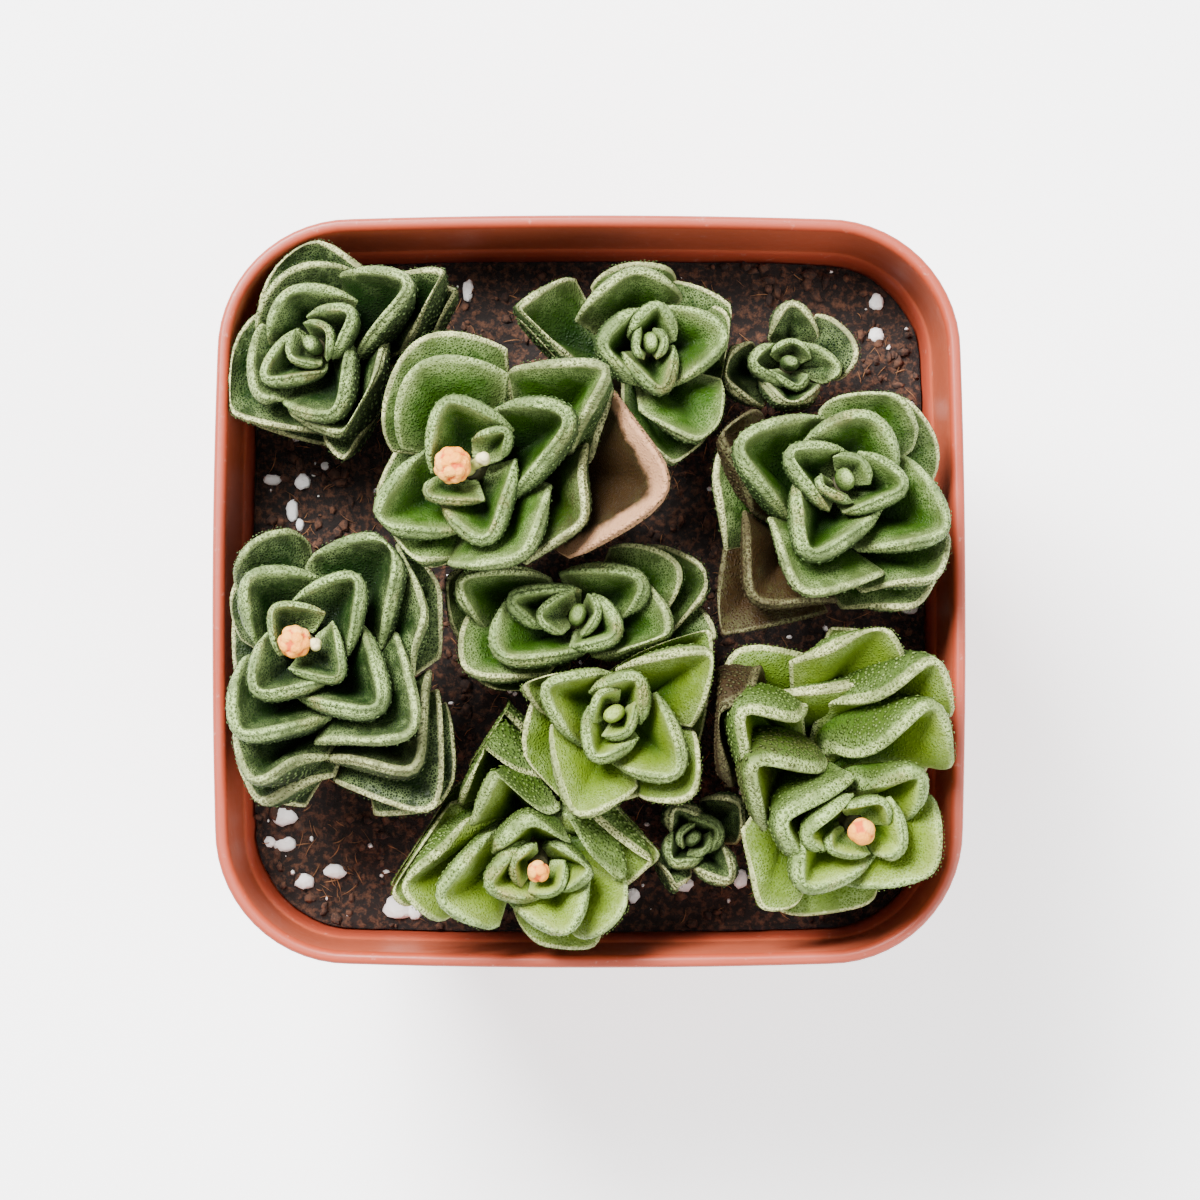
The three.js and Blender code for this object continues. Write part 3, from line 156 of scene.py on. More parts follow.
STEMS = (
    Stem("stem_back_left", (-36.9, 32.3, 91), 12, 172, 4, 33, -104, 8, 0.92, slot="dark_leaf"),
    Stem("stem_middle_left", (-16, 15, 102), 10, 190, 6, 25, 92, 8, 1.05, bud=(5, -1.4, 0.3, 22),
         small=(2.5, 1.1, 1)),
    Stem("stem_back_middle", (8.2, 32.4, 93), 6, 30, 4, 8, 92, 7, 0.9),
    Stem("stem_back_right", (27.1, 30.7, 84), 5, 60, 1, 80, 90, 4, 0.86, slot="dark_leaf"),
    Stem("stem_right", (33.5, 14, 98), 9, 52, 8, 30, 90, 9, 0.97),
    Stem("stem_left", (-37.1, -7, 101), 9, 118, 10, 134, 84, 10, 1, bud=(4.4, -0.7, -0.6, 16),
         small=(1.9, -0.9, 0.9), slot="dark_leaf"),
    Stem("stem_centre", (-1.5, -3.5, 92), 5, 90, 1, -20, 60, 7, 0.97),
    Stem("stem_front_centre", (3.2, -16.7, 96), 5, 200, 1, -60, 98, 6, 0.96, slot="bright_leaf"),
    Stem("stem_front", (-6.4, -36.9, 98), 10, 286, 8, 180, 92, 10, 1, bud=(3, -0.2, -0.1, 7),
         slot="bright_leaf"),
    Stem("stem_front_small", (14, -33.3, 82), 4, 90, 1, 130, 86, 4, 0.84, slot="dark_leaf"),
    Stem("stem_front_right", (34.9, -31.8, 99), 14, 302, 10, 200, 98, 10, 1.03,
         bud=(3.7, 0.2, 0, 5), slot="bright_leaf"),
)

# Where two neighbours press on one another: a place between them as seen from above the lip, the
# way from the first to the second, the height and how far the first reaches over the second
# above it
PRESSES = {
    ("stem_back_left", "stem_middle_left"): ((-27.2, 26), -32, 88, -2),
    ("stem_middle_left", "stem_back_middle"): ((2.7, 27.2), 45, 92, 2.5),
    ("stem_middle_left", "stem_centre"): ((-5, 3.6), -80, 95, 3),
    ("stem_middle_left", "stem_left"): ((-25.2, 6.4), 222, 94, 1),
    ("stem_middle_left", "stem_right"): ((13.6, 15), -2, 90, 0),
    ("stem_back_middle", "stem_back_right"): ((18.6, 30), -10, 88, 1),
    ("stem_back_middle", "stem_right"): ((18.2, 21.9), -50, 90, 0),
    ("stem_back_right", "stem_right"): ((30, 24.5), -88, 86, -1.5),
    ("stem_right", "stem_centre"): ((16.6, 1.5), 190, 87, 1),
    ("stem_right", "stem_front_right"): ((26, -5.4), -83, 88, 1),
    ("stem_left", "stem_centre"): ((-19, -7), 5, 88, 1),
    ("stem_left", "stem_front"): ((-18.9, -27.8), -33, 88, 0.5),
    ("stem_centre", "stem_front_centre"): ((2.8, -9.9), -74, 91, -1.5),
    ("stem_centre", "stem_front"): ((-12.5, -13.2), -95, 84, 1),
    ("stem_front_centre", "stem_front"): ((-3.4, -27), 225, 91, 4),
    ("stem_front_centre", "stem_front_right"): ((15.6, -20.5), -5, 90, 0.5),
    ("stem_front_centre", "stem_front_small"): ((11, -29), -85, 84, 3),
    ("stem_front", "stem_front_small"): ((9.6, -34.6), 25, 84, 3),
    ("stem_front_small", "stem_front_right"): ((19.6, -33), 0, 84, -4),
}

# Leaves measured from above, in millimetres at the lip's height: pair, side, the corner where the
# margin and the keel meet, both ends of the margin, and where they differ from the usual how
# rounded the margin is, how much higher the tip is and how much steeper it rises
SEEN = {
    "stem_back_left": (
        (1, 0, -32.6, 37.1, -37.9, 36.7, -36.1, 32.2),
        (1, 1, -43.3, 28.8, -38.4, 35.2, -35.4, 29.4),
        (2, 0, -34.6, 24.3, -32.3, 33.5, -41.5, 25.3, 0.4),
        (2, 1, -40, 39.7, -43, 32.9, -31, 38.9, 0.3),
        (3, 0, -25, 41.2, -33.9, 42.4, -31.4, 31.5),
        (3, 1, -44.6, 27.2, -44, 36, -39.8, 25.2),
        (4, 0, -31, 21.5, -40.6, 24, -27, 34.5),
        (4, 1, -40.4, 42.4, -44.6, 34, -31, 43, 0.5),
        (5, 0, -19.4, 41.8, -26.5, 41.5, -25, 33, 0.5),
        (6, 0, -32.6, 17.9, -35.5, 22.5, -27.2, 25, 0.4),
        (7, 0, -16.6, 38.4, -22.5, 41.5, -22, 31, 0.4),
    ),
    "stem_middle_left": (
        (0, 0, -11.5, 21, -15.7, 20.1, -12, 18.5),
        (0, 1, -21.2, 12.7, -20.2, 14.2, -13.9, 11.9),
        (1, 0, -19.1, 24.8, -20.9, 14.8, -10, 21.5, 0.3),
        (1, 1, -14, 7.3, -20, 11.8, -9.8, 17.6, 0.3),
        (2, 0, -3.6, 22.8, -12.6, 24.3, -11, 12, 0.4, 0, 6),
        (2, 1, -27.8, 9.6, -21.9, 18.7, -16.6, 7.9),
        (3, 0, -22.7, 29.9, -25.4, 19, -10.7, 29.3, 0.9, 0, -25),
        (3, 1, -9.4, 5, -4.9, 14, -19.3, 3.2, 0.3, 0, -12),
        (4, 0, 1.8, 29.6, -10.7, 29.6, -2, 19, 0.1, 0, -6),
        (4, 1, -24.3, 4.8, -26, 11, -17, 4.4),
        (5, 0, -1.2, 9.5, 0.1, 19.7, -8.8, 2.9, 0.15, 0.5, 0),
        (5, 1, -23.6, 32.6, -27, 18.7, -11, 33, 0.9, 0, -20),
        (6, 0, 9.9, 13.6, 3.6, 27.3, -4, 2.9, 0.35, 2.5, 8),
        (6, 1, -26.5, 5, -27.4, 14, -20, 2),
        (7, 0, 2.2, 27.2, -8, 30, 0.5, 17, 0.3),
    ),
    "stem_back_middle": (
        (0, 0, 9.9, 33.5, 8.6, 35.1, 7.9, 30.9, 0.8),
        (0, 1, 6.8, 32.8, 8, 34.8, 7.4, 30.9, 0.6),
        (1, 0, 9.2, 37.8, 5.8, 32, 11.6, 33.4),
        (1, 1, 9.7, 27.4, 4.5, 31.9, 11.2, 32.8),
        (2, 0, 2.6, 33.1, 7.2, 37.8, 6.9, 27.4, 0.3, 0, 8),
        (2, 1, 18.1, 34.2, 10.4, 38.2, 10.8, 27.1, 0.7, 0, -22),
        (3, 0, 5.9, 42.4, -2.1, 36.2, 12.7, 39.3, 0.25),
        (3, 1, 16.2, 20.3, 6.8, 23.8, 18.6, 28, 0.45, 0, -25),
        (4, 0, -9.6, 36.8, -2.2, 42.2, -1, 31.6, 0.15, -4),
        (4, 1, 20.2, 34, 15, 38.8, 19, 28.8, 0.5, -4),
        (5, 0, 12, 17.2, 7, 22, 17.5, 22, 0.4, -3),
        (5, 1, 6, 43.6, 0, 41, 12, 42, 0.5, -3),
        (6, 0, -11.5, 31.8, -9, 35, -2, 30.6, 0.5, -2),
    ),
    "stem_back_right": (
        (0, 0, 27.4, 33.1, 24.7, 31.4, 28.9, 29.5, 0.8),
        (0, 1, 28, 27.6, 25.8, 30.2, 29.3, 29),
        (1, 0, 22.6, 30.6, 25, 33, 26.8, 27.5, 0.3),
        (1, 1, 33.3, 30, 28.6, 33.2, 31.6, 27.9, 0.6, 0, -25),
        (2, 0, 27.4, 38.2, 24.1, 33.8, 31, 33.9, 0.35, 0, -15),
        (2, 1, 27.2, 25.2, 22.7, 28.8, 31.1, 27.6, 0.25),
        (3, 0, 18, 29.4, 21.8, 33.3, 23.2, 24.3, 0.4),
        (3, 1, 35.6, 32.8, 30.6, 37.2, 33.6, 28, 1, 0, -30),
    ),
    "stem_right": (
        (0, 0, 36.4, 17.2, 37.3, 14.2, 31.9, 16.2),
        (0, 1, 31.7, 14, 32, 15.4, 35.8, 12.9),
        (1, 0, 27.5, 18.2, 35.9, 17.9, 32.2, 10.6),
        (1, 1, 41.9, 14.2, 36.2, 18.5, 34, 10.4),
        (2, 0, 37.6, 22.9, 28.3, 19.4, 41.4, 15, 0.6),
        (2, 1, 30, 5.4, 28, 15.3, 39.6, 11.4),
        (3, 0, 20.9, 19.6, 32, 23, 26.6, 9.6, 0.3),
        (3, 1, 47.6, 8.5, 42, 18.2, 36.2, 5.1, 0.3, 0, -10),
        (4, 0, 29, 0, 23.9, 9.5, 39.8, 1.9, 0.3, 0, -18),
        (4, 1, 40.6, 26, 30.8, 24.6, 43.8, 18.9, 0.3),
        (5, 0, 18.1, 21.4, 23.4, 23, 21.6, 10.5),
        (5, 1, 46.4, 2.1, 47, 8, 39.9, 0.9),
        (6, 0, 22.6, -0.9, 20.5, 10.6, 33.3, -1.9, 0.3),
        (6, 1, 44, 24, 36, 26, 46.5, 14, 0.5),
        (7, 0, 17.4, 17, 21, 22.5, 18, 5, 0.5),
        (7, 1, 44, -1.6, 46.5, 5, 35, -2.6, 0.3),
        (8, 0, 17.2, -5.6, 18.6, 8.6, 32, -3.4, 0.15),
    ),
    "stem_left": (
        (0, 0, -42, -2.6, -35, -3.3, -40.7, -9.6),
        (0, 1, -33.7, -11.4, -34.3, -4.2, -40.2, -10.6),
        (1, 0, -31.6, 1.3, -40, -1.9, -32.2, -8.8),
        (1, 1, -44.1, -13.2, -43.1, -5.8, -34.4, -12),
        (2, 0, -45.1, 1.4, -35, 1.2, -44.4, -7.6),
        (2, 1, -28.6, -15.2, -30.5, -4.3, -39.3, -14.2),
        (3, 0, -26.6, 6.2, -38, 3.4, -27.6, -7.6),
        (3, 1, -46.4, -18.6, -45.8, -8.8, -34.6, -17.4),
        (4, 0, -23.9, -18.7, -25.6, -5.6, -36.6, -20.8, 0.3, 0, -16),
        (4, 1, -44.8, 6, -47, -0.5, -37.5, 6.8),
        (5, 0, -44.8, -25.2, -46.4, -18.6, -35.6, -22.8, 0.25),
        (5, 1, -22.4, -2.6, -25.4, 6.6, -23, -8),
        (6, 0, -23.6, -23.4, -20.9, -10.7, -35.4, -22.9, 0.2),
        (6, 1, -46.6, 2, -46.8, -6, -41, 7, 0.5),
        (7, 0, -44, -27.8, -45.6, -22, -34.2, -25.2),
        (7, 1, -20.6, 3, -25, 8, -20.4, -6, 0.5),
        (8, 0, -21, -28.8, -19.8, -13.4, -34, -25.9, 0.35, 0, -8),
        (9, 0, -18.9, -27.6, -17.6, -15, -28.5, -30.6, 0.4),
        (9, 1, -46, -25, -47, -12, -38, -29.5, 0.5),
    ),
    "stem_centre": (
        (0, 0, 0.8, -3, -1, -2.2, -1.6, -4.2, 0.5),
        (0, 1, -6.2, -3.3, -1.6, -2.2, -2.2, -4.2, 0.5),
        (1, 0, 3.2, -5.6, 0.5, -0.6, -5.8, -4.5, 0.4),
        (1, 1, -9.9, -1.2, -0.6, -1.2, -6.2, -5.2, 0.25),
        (2, 0, 6.2, 1.4, -6.5, 0.3, 4.8, -3.7, 0.5),
        (2, 1, -11.6, -8.4, -10.8, -0.8, 0.4, -7.6, 0.6, 0, -14),
        (3, 0, 10.2, -5.8, 6.8, 1.8, 0.6, -8.9, 0.5, 0, -12),
        (3, 1, -16.6, 1.2, -5.4, 1.6, -14, -4.6, 0.3),
        (4, 0, 11.5, 3.4, 3, 6, 9.8, -1.4, 0.8, 0, -22),
        (4, 1, -16.2, -10.4, -15.9, -2.5, -5.6, -11.5, 0.5, 0, -18),
        (5, 0, 15.9, 1.8, 7.4, 6.2, 11, -3.6, 0.25),
        (5, 1, -19.6, 0, -14, 3, -17, -5, 0.4),
        (6, 0, 16.6, -7.2, 14, -3.8, 12, -9, 0.4),
        (6, 1, -10, -15, -16, -11, -5, -13, 0.5),
    ),
    "stem_front_centre": (
        (0, 0, 4.8, -18.8, 4.3, -14.6, 2.3, -18.4, 0.4),
        (0, 1, 1.6, -14.4, 4, -14.3, 2, -17.6, 0.3),
        (1, 0, 6, -12.3, -0.1, -13.9, 6.2, -19, 0.3),
        (1, 1, 1, -22, 0.4, -14.8, 6.6, -19.8, 0.2),
        (2, 0, -5.2, -13.3, 3.1, -11.3, -1.2, -21, 0.2),
        (2, 1, 11.6, -24, 9, -13.9, 3, -23.2, 0.5, 0, -10),
        (3, 0, 16.2, -8.9, 3.7, -10.6, 14, -18.4, 0.2, 0, -20),
        (3, 1, -1.7, -29.6, -5.3, -18.2, 6.5, -26.7, 0.2, 0, -18),
        (4, 0, 13.6, -27, 14.3, -18.8, 6.4, -27.7, 0.5, 0, -12),
        (4, 1, -8, -11.6, 0, -9.8, -5.6, -17, 0.5),
    ),
    "stem_front": (
        (0, 0, -9.7, -36.7, -6.8, -35.5, -8.4, -39.2, 0.3),
        (0, 1, -4.4, -40, -3.4, -36.2, -8.6, -40, 0.4),
        (1, 0, -12.7, -39.5, -8.7, -33.7, -5.8, -41, 0.2),
        (1, 1, -0.3, -37.2, -5.6, -34.8, -4.3, -40.3, 0.2),
        (2, 0, -7.7, -31.8, -12.9, -35.3, -1.8, -33.2, 0.2, 0, 12),
        (2, 1, -3.1, -45.4, -10.9, -41.4, 0.1, -37.8, 0.25, 0, -20),
        (3, 0, 6.1, -34.4, -2.7, -30.1, 0.9, -39.8, 0.4, -4, -14),
        (3, 1, -19.3, -41.2, -13.4, -32.6, -12.2, -45.2, 0.15, 0, -8),
        (4, 0, -11.4, -24.7, -16, -31.4, -3.4, -28.8, 0.15),
        (4, 1, 3.2, -44.2, 5, -38.6, -2.4, -46, 0.5, 0, -14),
        (5, 0, 10.3, -32.4, 4, -28.8, 6.2, -38.2, 0.2, -9, -10),
        (5, 1, -24.4, -39.6, -17.3, -32.7, -18.4, -43.6, 0.25),
        (6, 0, -13.9, -19.4, -17.3, -28.7, -4.9, -25.8, 0.12, -1, 25),
        (6, 1, -4.4, -47.6, -10.2, -43.2, 2.2, -45.6, 0.6),
        (7, 0, -26.6, -37.8, -19.6, -30.7, -24, -41.4, 0.4),
        (8, 0, -13.8, -14, -17.2, -23, -6.2, -21.4, 0.12, -2, 42),
        (8, 1, -7, -43.6, -12.5, -39, -0.5, -41, 0.6),
        (9, 0, -29.8, -33.4, -23, -30.8, -27, -37.6, 0.4),
    ),
    "stem_front_small": (
        (0, 0, 12.5, -32.8, 14.8, -32.6, 12.8, -34.4, 0.3),
        (0, 1, 15.4, -34.4, 15.2, -32.7, 13, -34.8, 0.4),
        (1, 0, 11.2, -35.9, 11.4, -32.4, 15, -35.2, 0.25),
        (1, 1, 16.8, -32, 12.8, -31.3, 15.8, -34.9, 0.6),
        (2, 0, 11.7, -29.4, 11.1, -32.6, 15.9, -31.1, 0.3),
        (2, 1, 18.7, -38.4, 17.4, -33.6, 13.5, -36.8, 0.3, 0, -15),
        (3, 0, 9.5, -39.6, 8.6, -35, 13.6, -38.4, 0.7, 0, -20),
        (3, 1, 20, -28.9, 14.9, -28, 19.8, -34, 0.4),
    ),
    "stem_front_right": (
        (0, 0, 33, -34.8, 32.3, -32.4, 37.6, -35.2, 0.4),
        (0, 1, 38.9, -28.8, 34.4, -30.2, 40, -31.6, 0.3),
        (1, 0, 29.9, -32.8, 38, -28, 31.8, -34.7, 0.2),
        (1, 1, 41.4, -34.4, 40.2, -27.6, 37.8, -35.2, 0.2),
        (2, 0, 29.3, -39.4, 28.7, -32.3, 38.2, -35.5, 0.25),
        (2, 1, 43.9, -25.4, 38.6, -27.2, 42.4, -30.9, 0.2),
        (3, 0, 26.8, -31, 38.2, -25.9, 28.7, -36.3, 0.15, 0, 16),
        (3, 1, 45.6, -37.5, 46, -27.4, 33.8, -39.4, 0.2, 0, -24),
        (4, 0, 22.7, -23.8, 34.2, -22.8, 23, -32, 0.15, 0, 22),
        (4, 1, 46, -16, 35, -22.2, 47.6, -23.8, 0.15, 0, 4),
        (5, 0, 21, -16.9, 31.4, -14.9, 20.7, -25.4, 0.15, 0, 22),
        (5, 1, 46.2, -10, 33.4, -14.8, 47, -17, 0.15, 0, 6),
        (6, 0, 16.9, -17.2, 27.1, -8.1, 18.7, -26.4, 0.2, 0, 40),
        (6, 1, 38.8, -5.2, 29, -8.6, 40, -10.4, 0.5),
        (7, 0, 23.4, -42.4, 21.3, -34.2, 28, -39.5, 0.2, 0, -6),
        (8, 0, 32.6, -43, 25, -42.4, 37, -40.4, 0.6),
        (8, 1, 42, -8.8, 36, -3.6, 44, -12, 0.4),
    ),
}

# Leaves that have turned olive and brown: stem, pair, side and how far it has gone
AGED = {
    ("stem_middle_left", 6, 0): 1,
    ("stem_middle_left", 5, 0): 0.4,
    ("stem_right", 5, 0): 0.9,
    ("stem_right", 6, 0): 0.8,
    ("stem_right", 8, 0): 0.8,
    ("stem_front_right", 6, 0): 0.8,
    ("stem_front_right", 4, 0): 0.4,
    ("stem_left", 6, 0): 0.3,
    ("stem_left", 5, 0): 0.2,
}

# Perlite lumps on the mix: x, y and radius
PERLITE = (
    (-44, 26.1, 2), (-40.9, 23.3, 1.6), (-16.9, 42.6, 1.1), (-36.8, 18, 0.6),
    (-44.2, 16.1, 1), (-39.9, 15.8, 1.1), (-41.4, 11.7, 1.2), (-40.3, 9.8, 0.7),
    (40.2, 41, 1.1), (40.2, 36.4, 1.1), (44.4, 25.6, 1.4), (44.6, -1.8, 1),
    (-42.3, -30.8, 1.5), (-42.3, -34.6, 1.3), (-35.2, -38.4, 1.3), (-39.5, -39.8, 1.2),
    (-26.4, -43.4, 2), (-24.1, -43.8, 1.2), (13, -40.2, 1.2), (20.9, -39.3, 1.2),
    (6.1, -41.6, 1), (-44.4, -34.3, 0.8),
)


# ------------------------------------------------------------------------------------------
# Settings
# ------------------------------------------------------------------------------------------

def paint(name, about, value):
    """A colour setting."""
    return FloatVectorProperty(name=name, description=about, subtype="COLOR", size=3, min=0, max=1,
                               default=value)


def length(name, about, value):
    """A length setting, given in millimetres."""
    return FloatProperty(name=name, description=about, default=value * MM, min=0, unit="LENGTH",
                         precision=5)


class CrassulaPotSettings(bpy.types.PropertyGroup):
    """Finish of the nursery pot."""

    # Painted light and shade: one plastic in a lip, a collar and a wall tone, laid on by height.
    lip: paint("Lip", "Colour of the thin lip", colour(152, 60, 36))
    collar: paint("Collar", "Colour of the collar's wall", colour(176, 82, 54))
    wall: paint("Wall", "Colour of the wall below the collar", colour(156, 64, 42))
    grain: length("Grain", "Depth of the moulded grain", 0.03)


class CrassulaMixSettings(bpy.types.PropertyGroup):
    """Potting mix and what lies in it."""

    dark: paint("Dark", "Colour of the damp mix", colour(40, 24, 16))
    crumb: paint("Crumb", "Colour of the drier crumbs", colour(104, 66, 44))
    fibre: paint("Fibre", "Colour of the coir fibres", colour(164, 110, 66))
    perlite: paint("Perlite", "Colour of the perlite", colour(255, 253, 248))
    fibres: IntProperty(name="Fibres", description="Number of coir fibres", default=900, min=0)
    crumbs: IntProperty(name="Crumbs", description="Number of bark crumbs", default=1500, min=0)
    specks: IntProperty(name="Specks", description="Number of small perlite grains", default=160,
                        min=0)


class CrassulaLeafSettings(bpy.types.PropertyGroup):
    """Leaves and their papillae."""

    green: paint("Green", "Leaf green", colour(42, 72, 6))
    dark_green: paint("Dark green", "Green of the dark stems", colour(23, 46, 12))
    bright_green: paint("Bright green", "Green of the bright stems", colour(102, 124, 20))
    back: paint("Back", "Green of the leaf backs", colour(20, 38, 14))
    papilla: paint("Papilla", "Colour of the papillae", colour(166, 190, 118))
    margin: paint("Margin", "Colour of the thin margin", colour(222, 222, 156))
    aged: paint("Aged", "Colour of aged leaves", colour(40, 27, 12))
    blush: paint("Blush", "Colour of aged margins", colour(166, 124, 92))
    tan: paint("Tan", "Colour of the tan patches along young crests", colour(146, 118, 70))
    stem: paint("Stem", "Colour of the bare stem", colour(74, 70, 38))
    spacing: length("Papilla spacing", "Distance between papillae on the backs", 0.86)
    radius: length("Papilla radius", "Radius of a papilla", 0.3)
    height: length("Papilla height", "Height of a papilla", 0.11)


class CrassulaBudSettings(bpy.types.PropertyGroup):
    """Bud clusters."""

    petal: paint("Petal", "Colour of the closed petals", colour(236, 150, 52))
    # The tip colour is laid in the grooves between the buds as painted shade.
    tip: paint("Tip", "Colour of the knob's grooves", colour(210, 92, 40))
    sepal: paint("Sepal", "Colour of the sepals", colour(176, 176, 104))


class CrassulaStageSettings(bpy.types.PropertyGroup):
    """Floor, light and camera."""

    floor: paint("Floor", "Colour of the floor", (0.96, 0.96, 0.96))
    distance: length("Camera distance", "From the camera to the pot's lip", 450)
    tilt: FloatProperty(name="Camera tilt", description="Lean of the camera from straight down",
                        default=math.radians(2.5), subtype="ANGLE")
    key: FloatProperty(name="Key light", description="Power of the key light", default=40.0, min=0,
                       unit="POWER")
    fill: FloatProperty(name="Fill light", description="Strength of the surrounding light",
                        default=0.95, min=0)
    glow: FloatProperty(name="Floor glow", description="Light that the floor gives off",
                        default=1.1, min=0)


# ------------------------------------------------------------------------------------------
# Draws and noise
# ------------------------------------------------------------------------------------------

def chance(*key):
    """Steady draw from -1 to 1: the fraction of a large multiple of the sine of the keys' sum."""
    total = sum((i + 1) * 12.9898 * v + 78.233 * (i + 3) for i, v in enumerate(key))
    x = math.sin(total) * 43758.5453
    return (x - math.floor(x)) * 2 - 1


def value_noise(x, y, cell, seed):
    """Height from -1 to 1: draws on a square lattice, blended smoothly between its corners."""
    lattice = np.random.default_rng(seed).uniform(-1, 1, (256, 256))
    gx, gy = np.floor(x / cell), np.floor(y / cell)
    fx, fy = x / cell - gx, y / cell - gy
    fx, fy = fx * fx * (3 - 2 * fx), fy * fy * (3 - 2 * fy)
    ix, iy = gx.astype(int) % 255, gy.astype(int) % 255
    low = lattice[ix, iy] * (1 - fx) + lattice[ix + 1, iy] * fx
    high = lattice[ix, iy + 1] * (1 - fx) + lattice[ix + 1, iy + 1] * fx
    return low * (1 - fy) + high * fy


def unit(vectors):
    """Vectors of length one."""
    return vectors / (np.linalg.norm(vectors, axis=-1, keepdims=True) + 1e-12)


# ------------------------------------------------------------------------------------------
# Meshes
# ------------------------------------------------------------------------------------------

class Skin:
    """Collects surfaces of one piece and puts them into one mesh."""

    def __init__(self):
        self.points, self.quads, self.triangles = [], [], []
        self.quad_slots, self.triangle_slots = [], []
        self.uv, self.layers = [], {"tone": [], "skin": []}
        self.count = 0

    def add(self, points, quads=(), triangles=(), slot=0, uv=None, tone=None, skin=None):
        """Adds points in millimetres with faces that index them, a slot and values per point."""
        points = np.asarray(points, float).reshape(-1, 3)
        n = len(points)
        quads = np.asarray(quads, int).reshape(-1, 4)
        triangles = np.asarray(triangles, int).reshape(-1, 3)
        self.points.append(points)
        self.quads.append(quads + self.count)
        self.triangles.append(triangles + self.count)
        self.quad_slots.append(np.broadcast_to(slot, len(quads)))
        self.triangle_slots.append(np.broadcast_to(slot, len(triangles)))
        self.uv.append(np.zeros((n, 2)) if uv is None else np.broadcast_to(uv, (n, 2)))
        for name, value in (("tone", tone), ("skin", skin)):
            value = (0, 0, 0) if value is None else value
            self.layers[name].append(np.broadcast_to(value, (n, 3)))
        self.count += n

    def piece(self, name, materials, smooth=True):
        """Makes the object, with its UV map, its two colour attributes and its materials."""
        points = np.concatenate(self.points) * MM
        quads, triangles = np.concatenate(self.quads), np.concatenate(self.triangles)
        corners = np.concatenate([quads.ravel(), triangles.ravel()])
        sizes = np.concatenate([np.full(len(quads), 4), np.full(len(triangles), 3)])
        mesh = bpy.data.meshes.new(name)
        mesh.vertices.add(len(points))
        mesh.vertices.foreach_set("co", points.astype(np.float32).ravel())
        mesh.loops.add(len(corners))
        mesh.loops.foreach_set("vertex_index", corners.astype(np.int32))
        mesh.polygons.add(len(sizes))
        mesh.polygons.foreach_set("loop_start", (np.cumsum(sizes) - sizes).astype(np.int32))
        mesh.polygons.foreach_set("loop_total", sizes.astype(np.int32))
        slots = np.concatenate([*self.quad_slots, *self.triangle_slots])
        for material in materials:
            mesh.materials.append(material)
        mesh.polygons.foreach_set("material_index", slots.astype(np.int32))
        mesh.update(calc_edges=True)
        mesh.polygons.foreach_set("use_smooth", np.full(len(sizes), smooth))
        uv = mesh.uv_layers.new(name="UVMap")
        uv.data.foreach_set("uv", np.concatenate(self.uv)[corners].astype(np.float32).ravel())
        for layer, values in self.layers.items():
            rgba = np.ones((len(points), 4), np.float32)
            rgba[:, :3] = np.concatenate(values)
            store = mesh.color_attributes.new(layer, "FLOAT_COLOR", "POINT")
            store.data.foreach_set("color", rgba.ravel())
        if mesh.validate():
            raise RuntimeError(f"{name} holds faces that can't be drawn")
        made = bpy.data.objects.new(name, mesh)
        bpy.context.scene.collection.objects.link(made)
        return made


def grid_quads(rows, columns, closed=False):
    """Quads of a grid of points, row after row, closed over the last column on request."""
    i, j = np.meshgrid(np.arange(rows - 1), np.arange(columns if closed else columns - 1),
                       indexing="ij")
    a, b = i * columns + j, i * columns + (j + 1) % columns
    return np.stack([a, b, b + columns, a + columns], -1).reshape(-1, 4)


def fan(centre, ring):
    """Triangles from a centre point to a closed ring of points."""
    ring = np.asarray(ring)
    return np.stack([np.full(len(ring), centre), ring, np.roll(ring, -1)], -1)


def circle(count):
    """Angles of points spaced evenly round a circle."""
    return 2 * np.pi * np.arange(count) / count


def ball(rings, around):
    """A ball of radius one: its points, ring after ring from the top with both poles last, its
    quads and its triangles."""
    polar = np.pi * (np.arange(rings) + 0.5) / rings
    a = circle(around)
    points = np.stack([np.sin(polar)[:, None] * np.cos(a), np.sin(polar)[:, None] * np.sin(a),
                       np.broadcast_to(np.cos(polar)[:, None], (rings, around))], -1)
    n = rings * around
    caps = np.concatenate([fan(n, np.arange(around)), fan(n + 1, np.arange(n - around, n)[::-1])])
    return (np.concatenate([points.reshape(-1, 3), [[0, 0, 1], [0, 0, -1]]]),
            grid_quads(rings, around, closed=True)[:, ::-1], caps)


def tube(rings):
    """A closed tube through rings, from its lower end to its upper end: its points with the
    middles of the upper and the lower end last, its quads and its triangles."""
    rows, sides = rings.shape[:2]
    n = rows * sides
    points = np.concatenate([rings.reshape(-1, 3), rings[-1].mean(0)[None], rings[0].mean(0)[None]])
    caps = np.concatenate([fan(n, np.arange(n - sides, n)), fan(n + 1, np.arange(sides)[::-1])])
    return points, grid_quads(rows, sides, closed=True), caps


# ------------------------------------------------------------------------------------------
# Pot
# ------------------------------------------------------------------------------------------

def square_ring(s, r, z, bulge=SIDE_BULGE, corner=14, side=12):
    """Rounded square of half width s and corner radius r at height z: quarter circles joined by
    sides that bow out along a parabola."""
    quarter = np.arange(4)[:, None]
    a = (quarter + np.arange(corner + 1) / corner) * math.pi / 2
    cx = np.where((quarter == 0) | (quarter == 3), s - r, r - s)
    cy = np.where(quarter < 2, s - r, r - s)
    arc = np.stack([cx + r * np.cos(a), cy + r * np.sin(a)], -1)
    start, end = arc[:, -1:], np.roll(arc, -1, axis=0)[:, :1]
    t = (np.arange(1, side) / side)[None, :, None]
    mid = (quarter + 1) * math.pi / 2
    out = np.stack([np.cos(mid), np.sin(mid)], -1)
    edge = start + (end - start) * t + out * bulge * 4 * t * (1 - t)
    flat = np.concatenate([arc, edge], axis=1).reshape(-1, 2)
    return np.column_stack([flat, np.full(len(flat), z)])


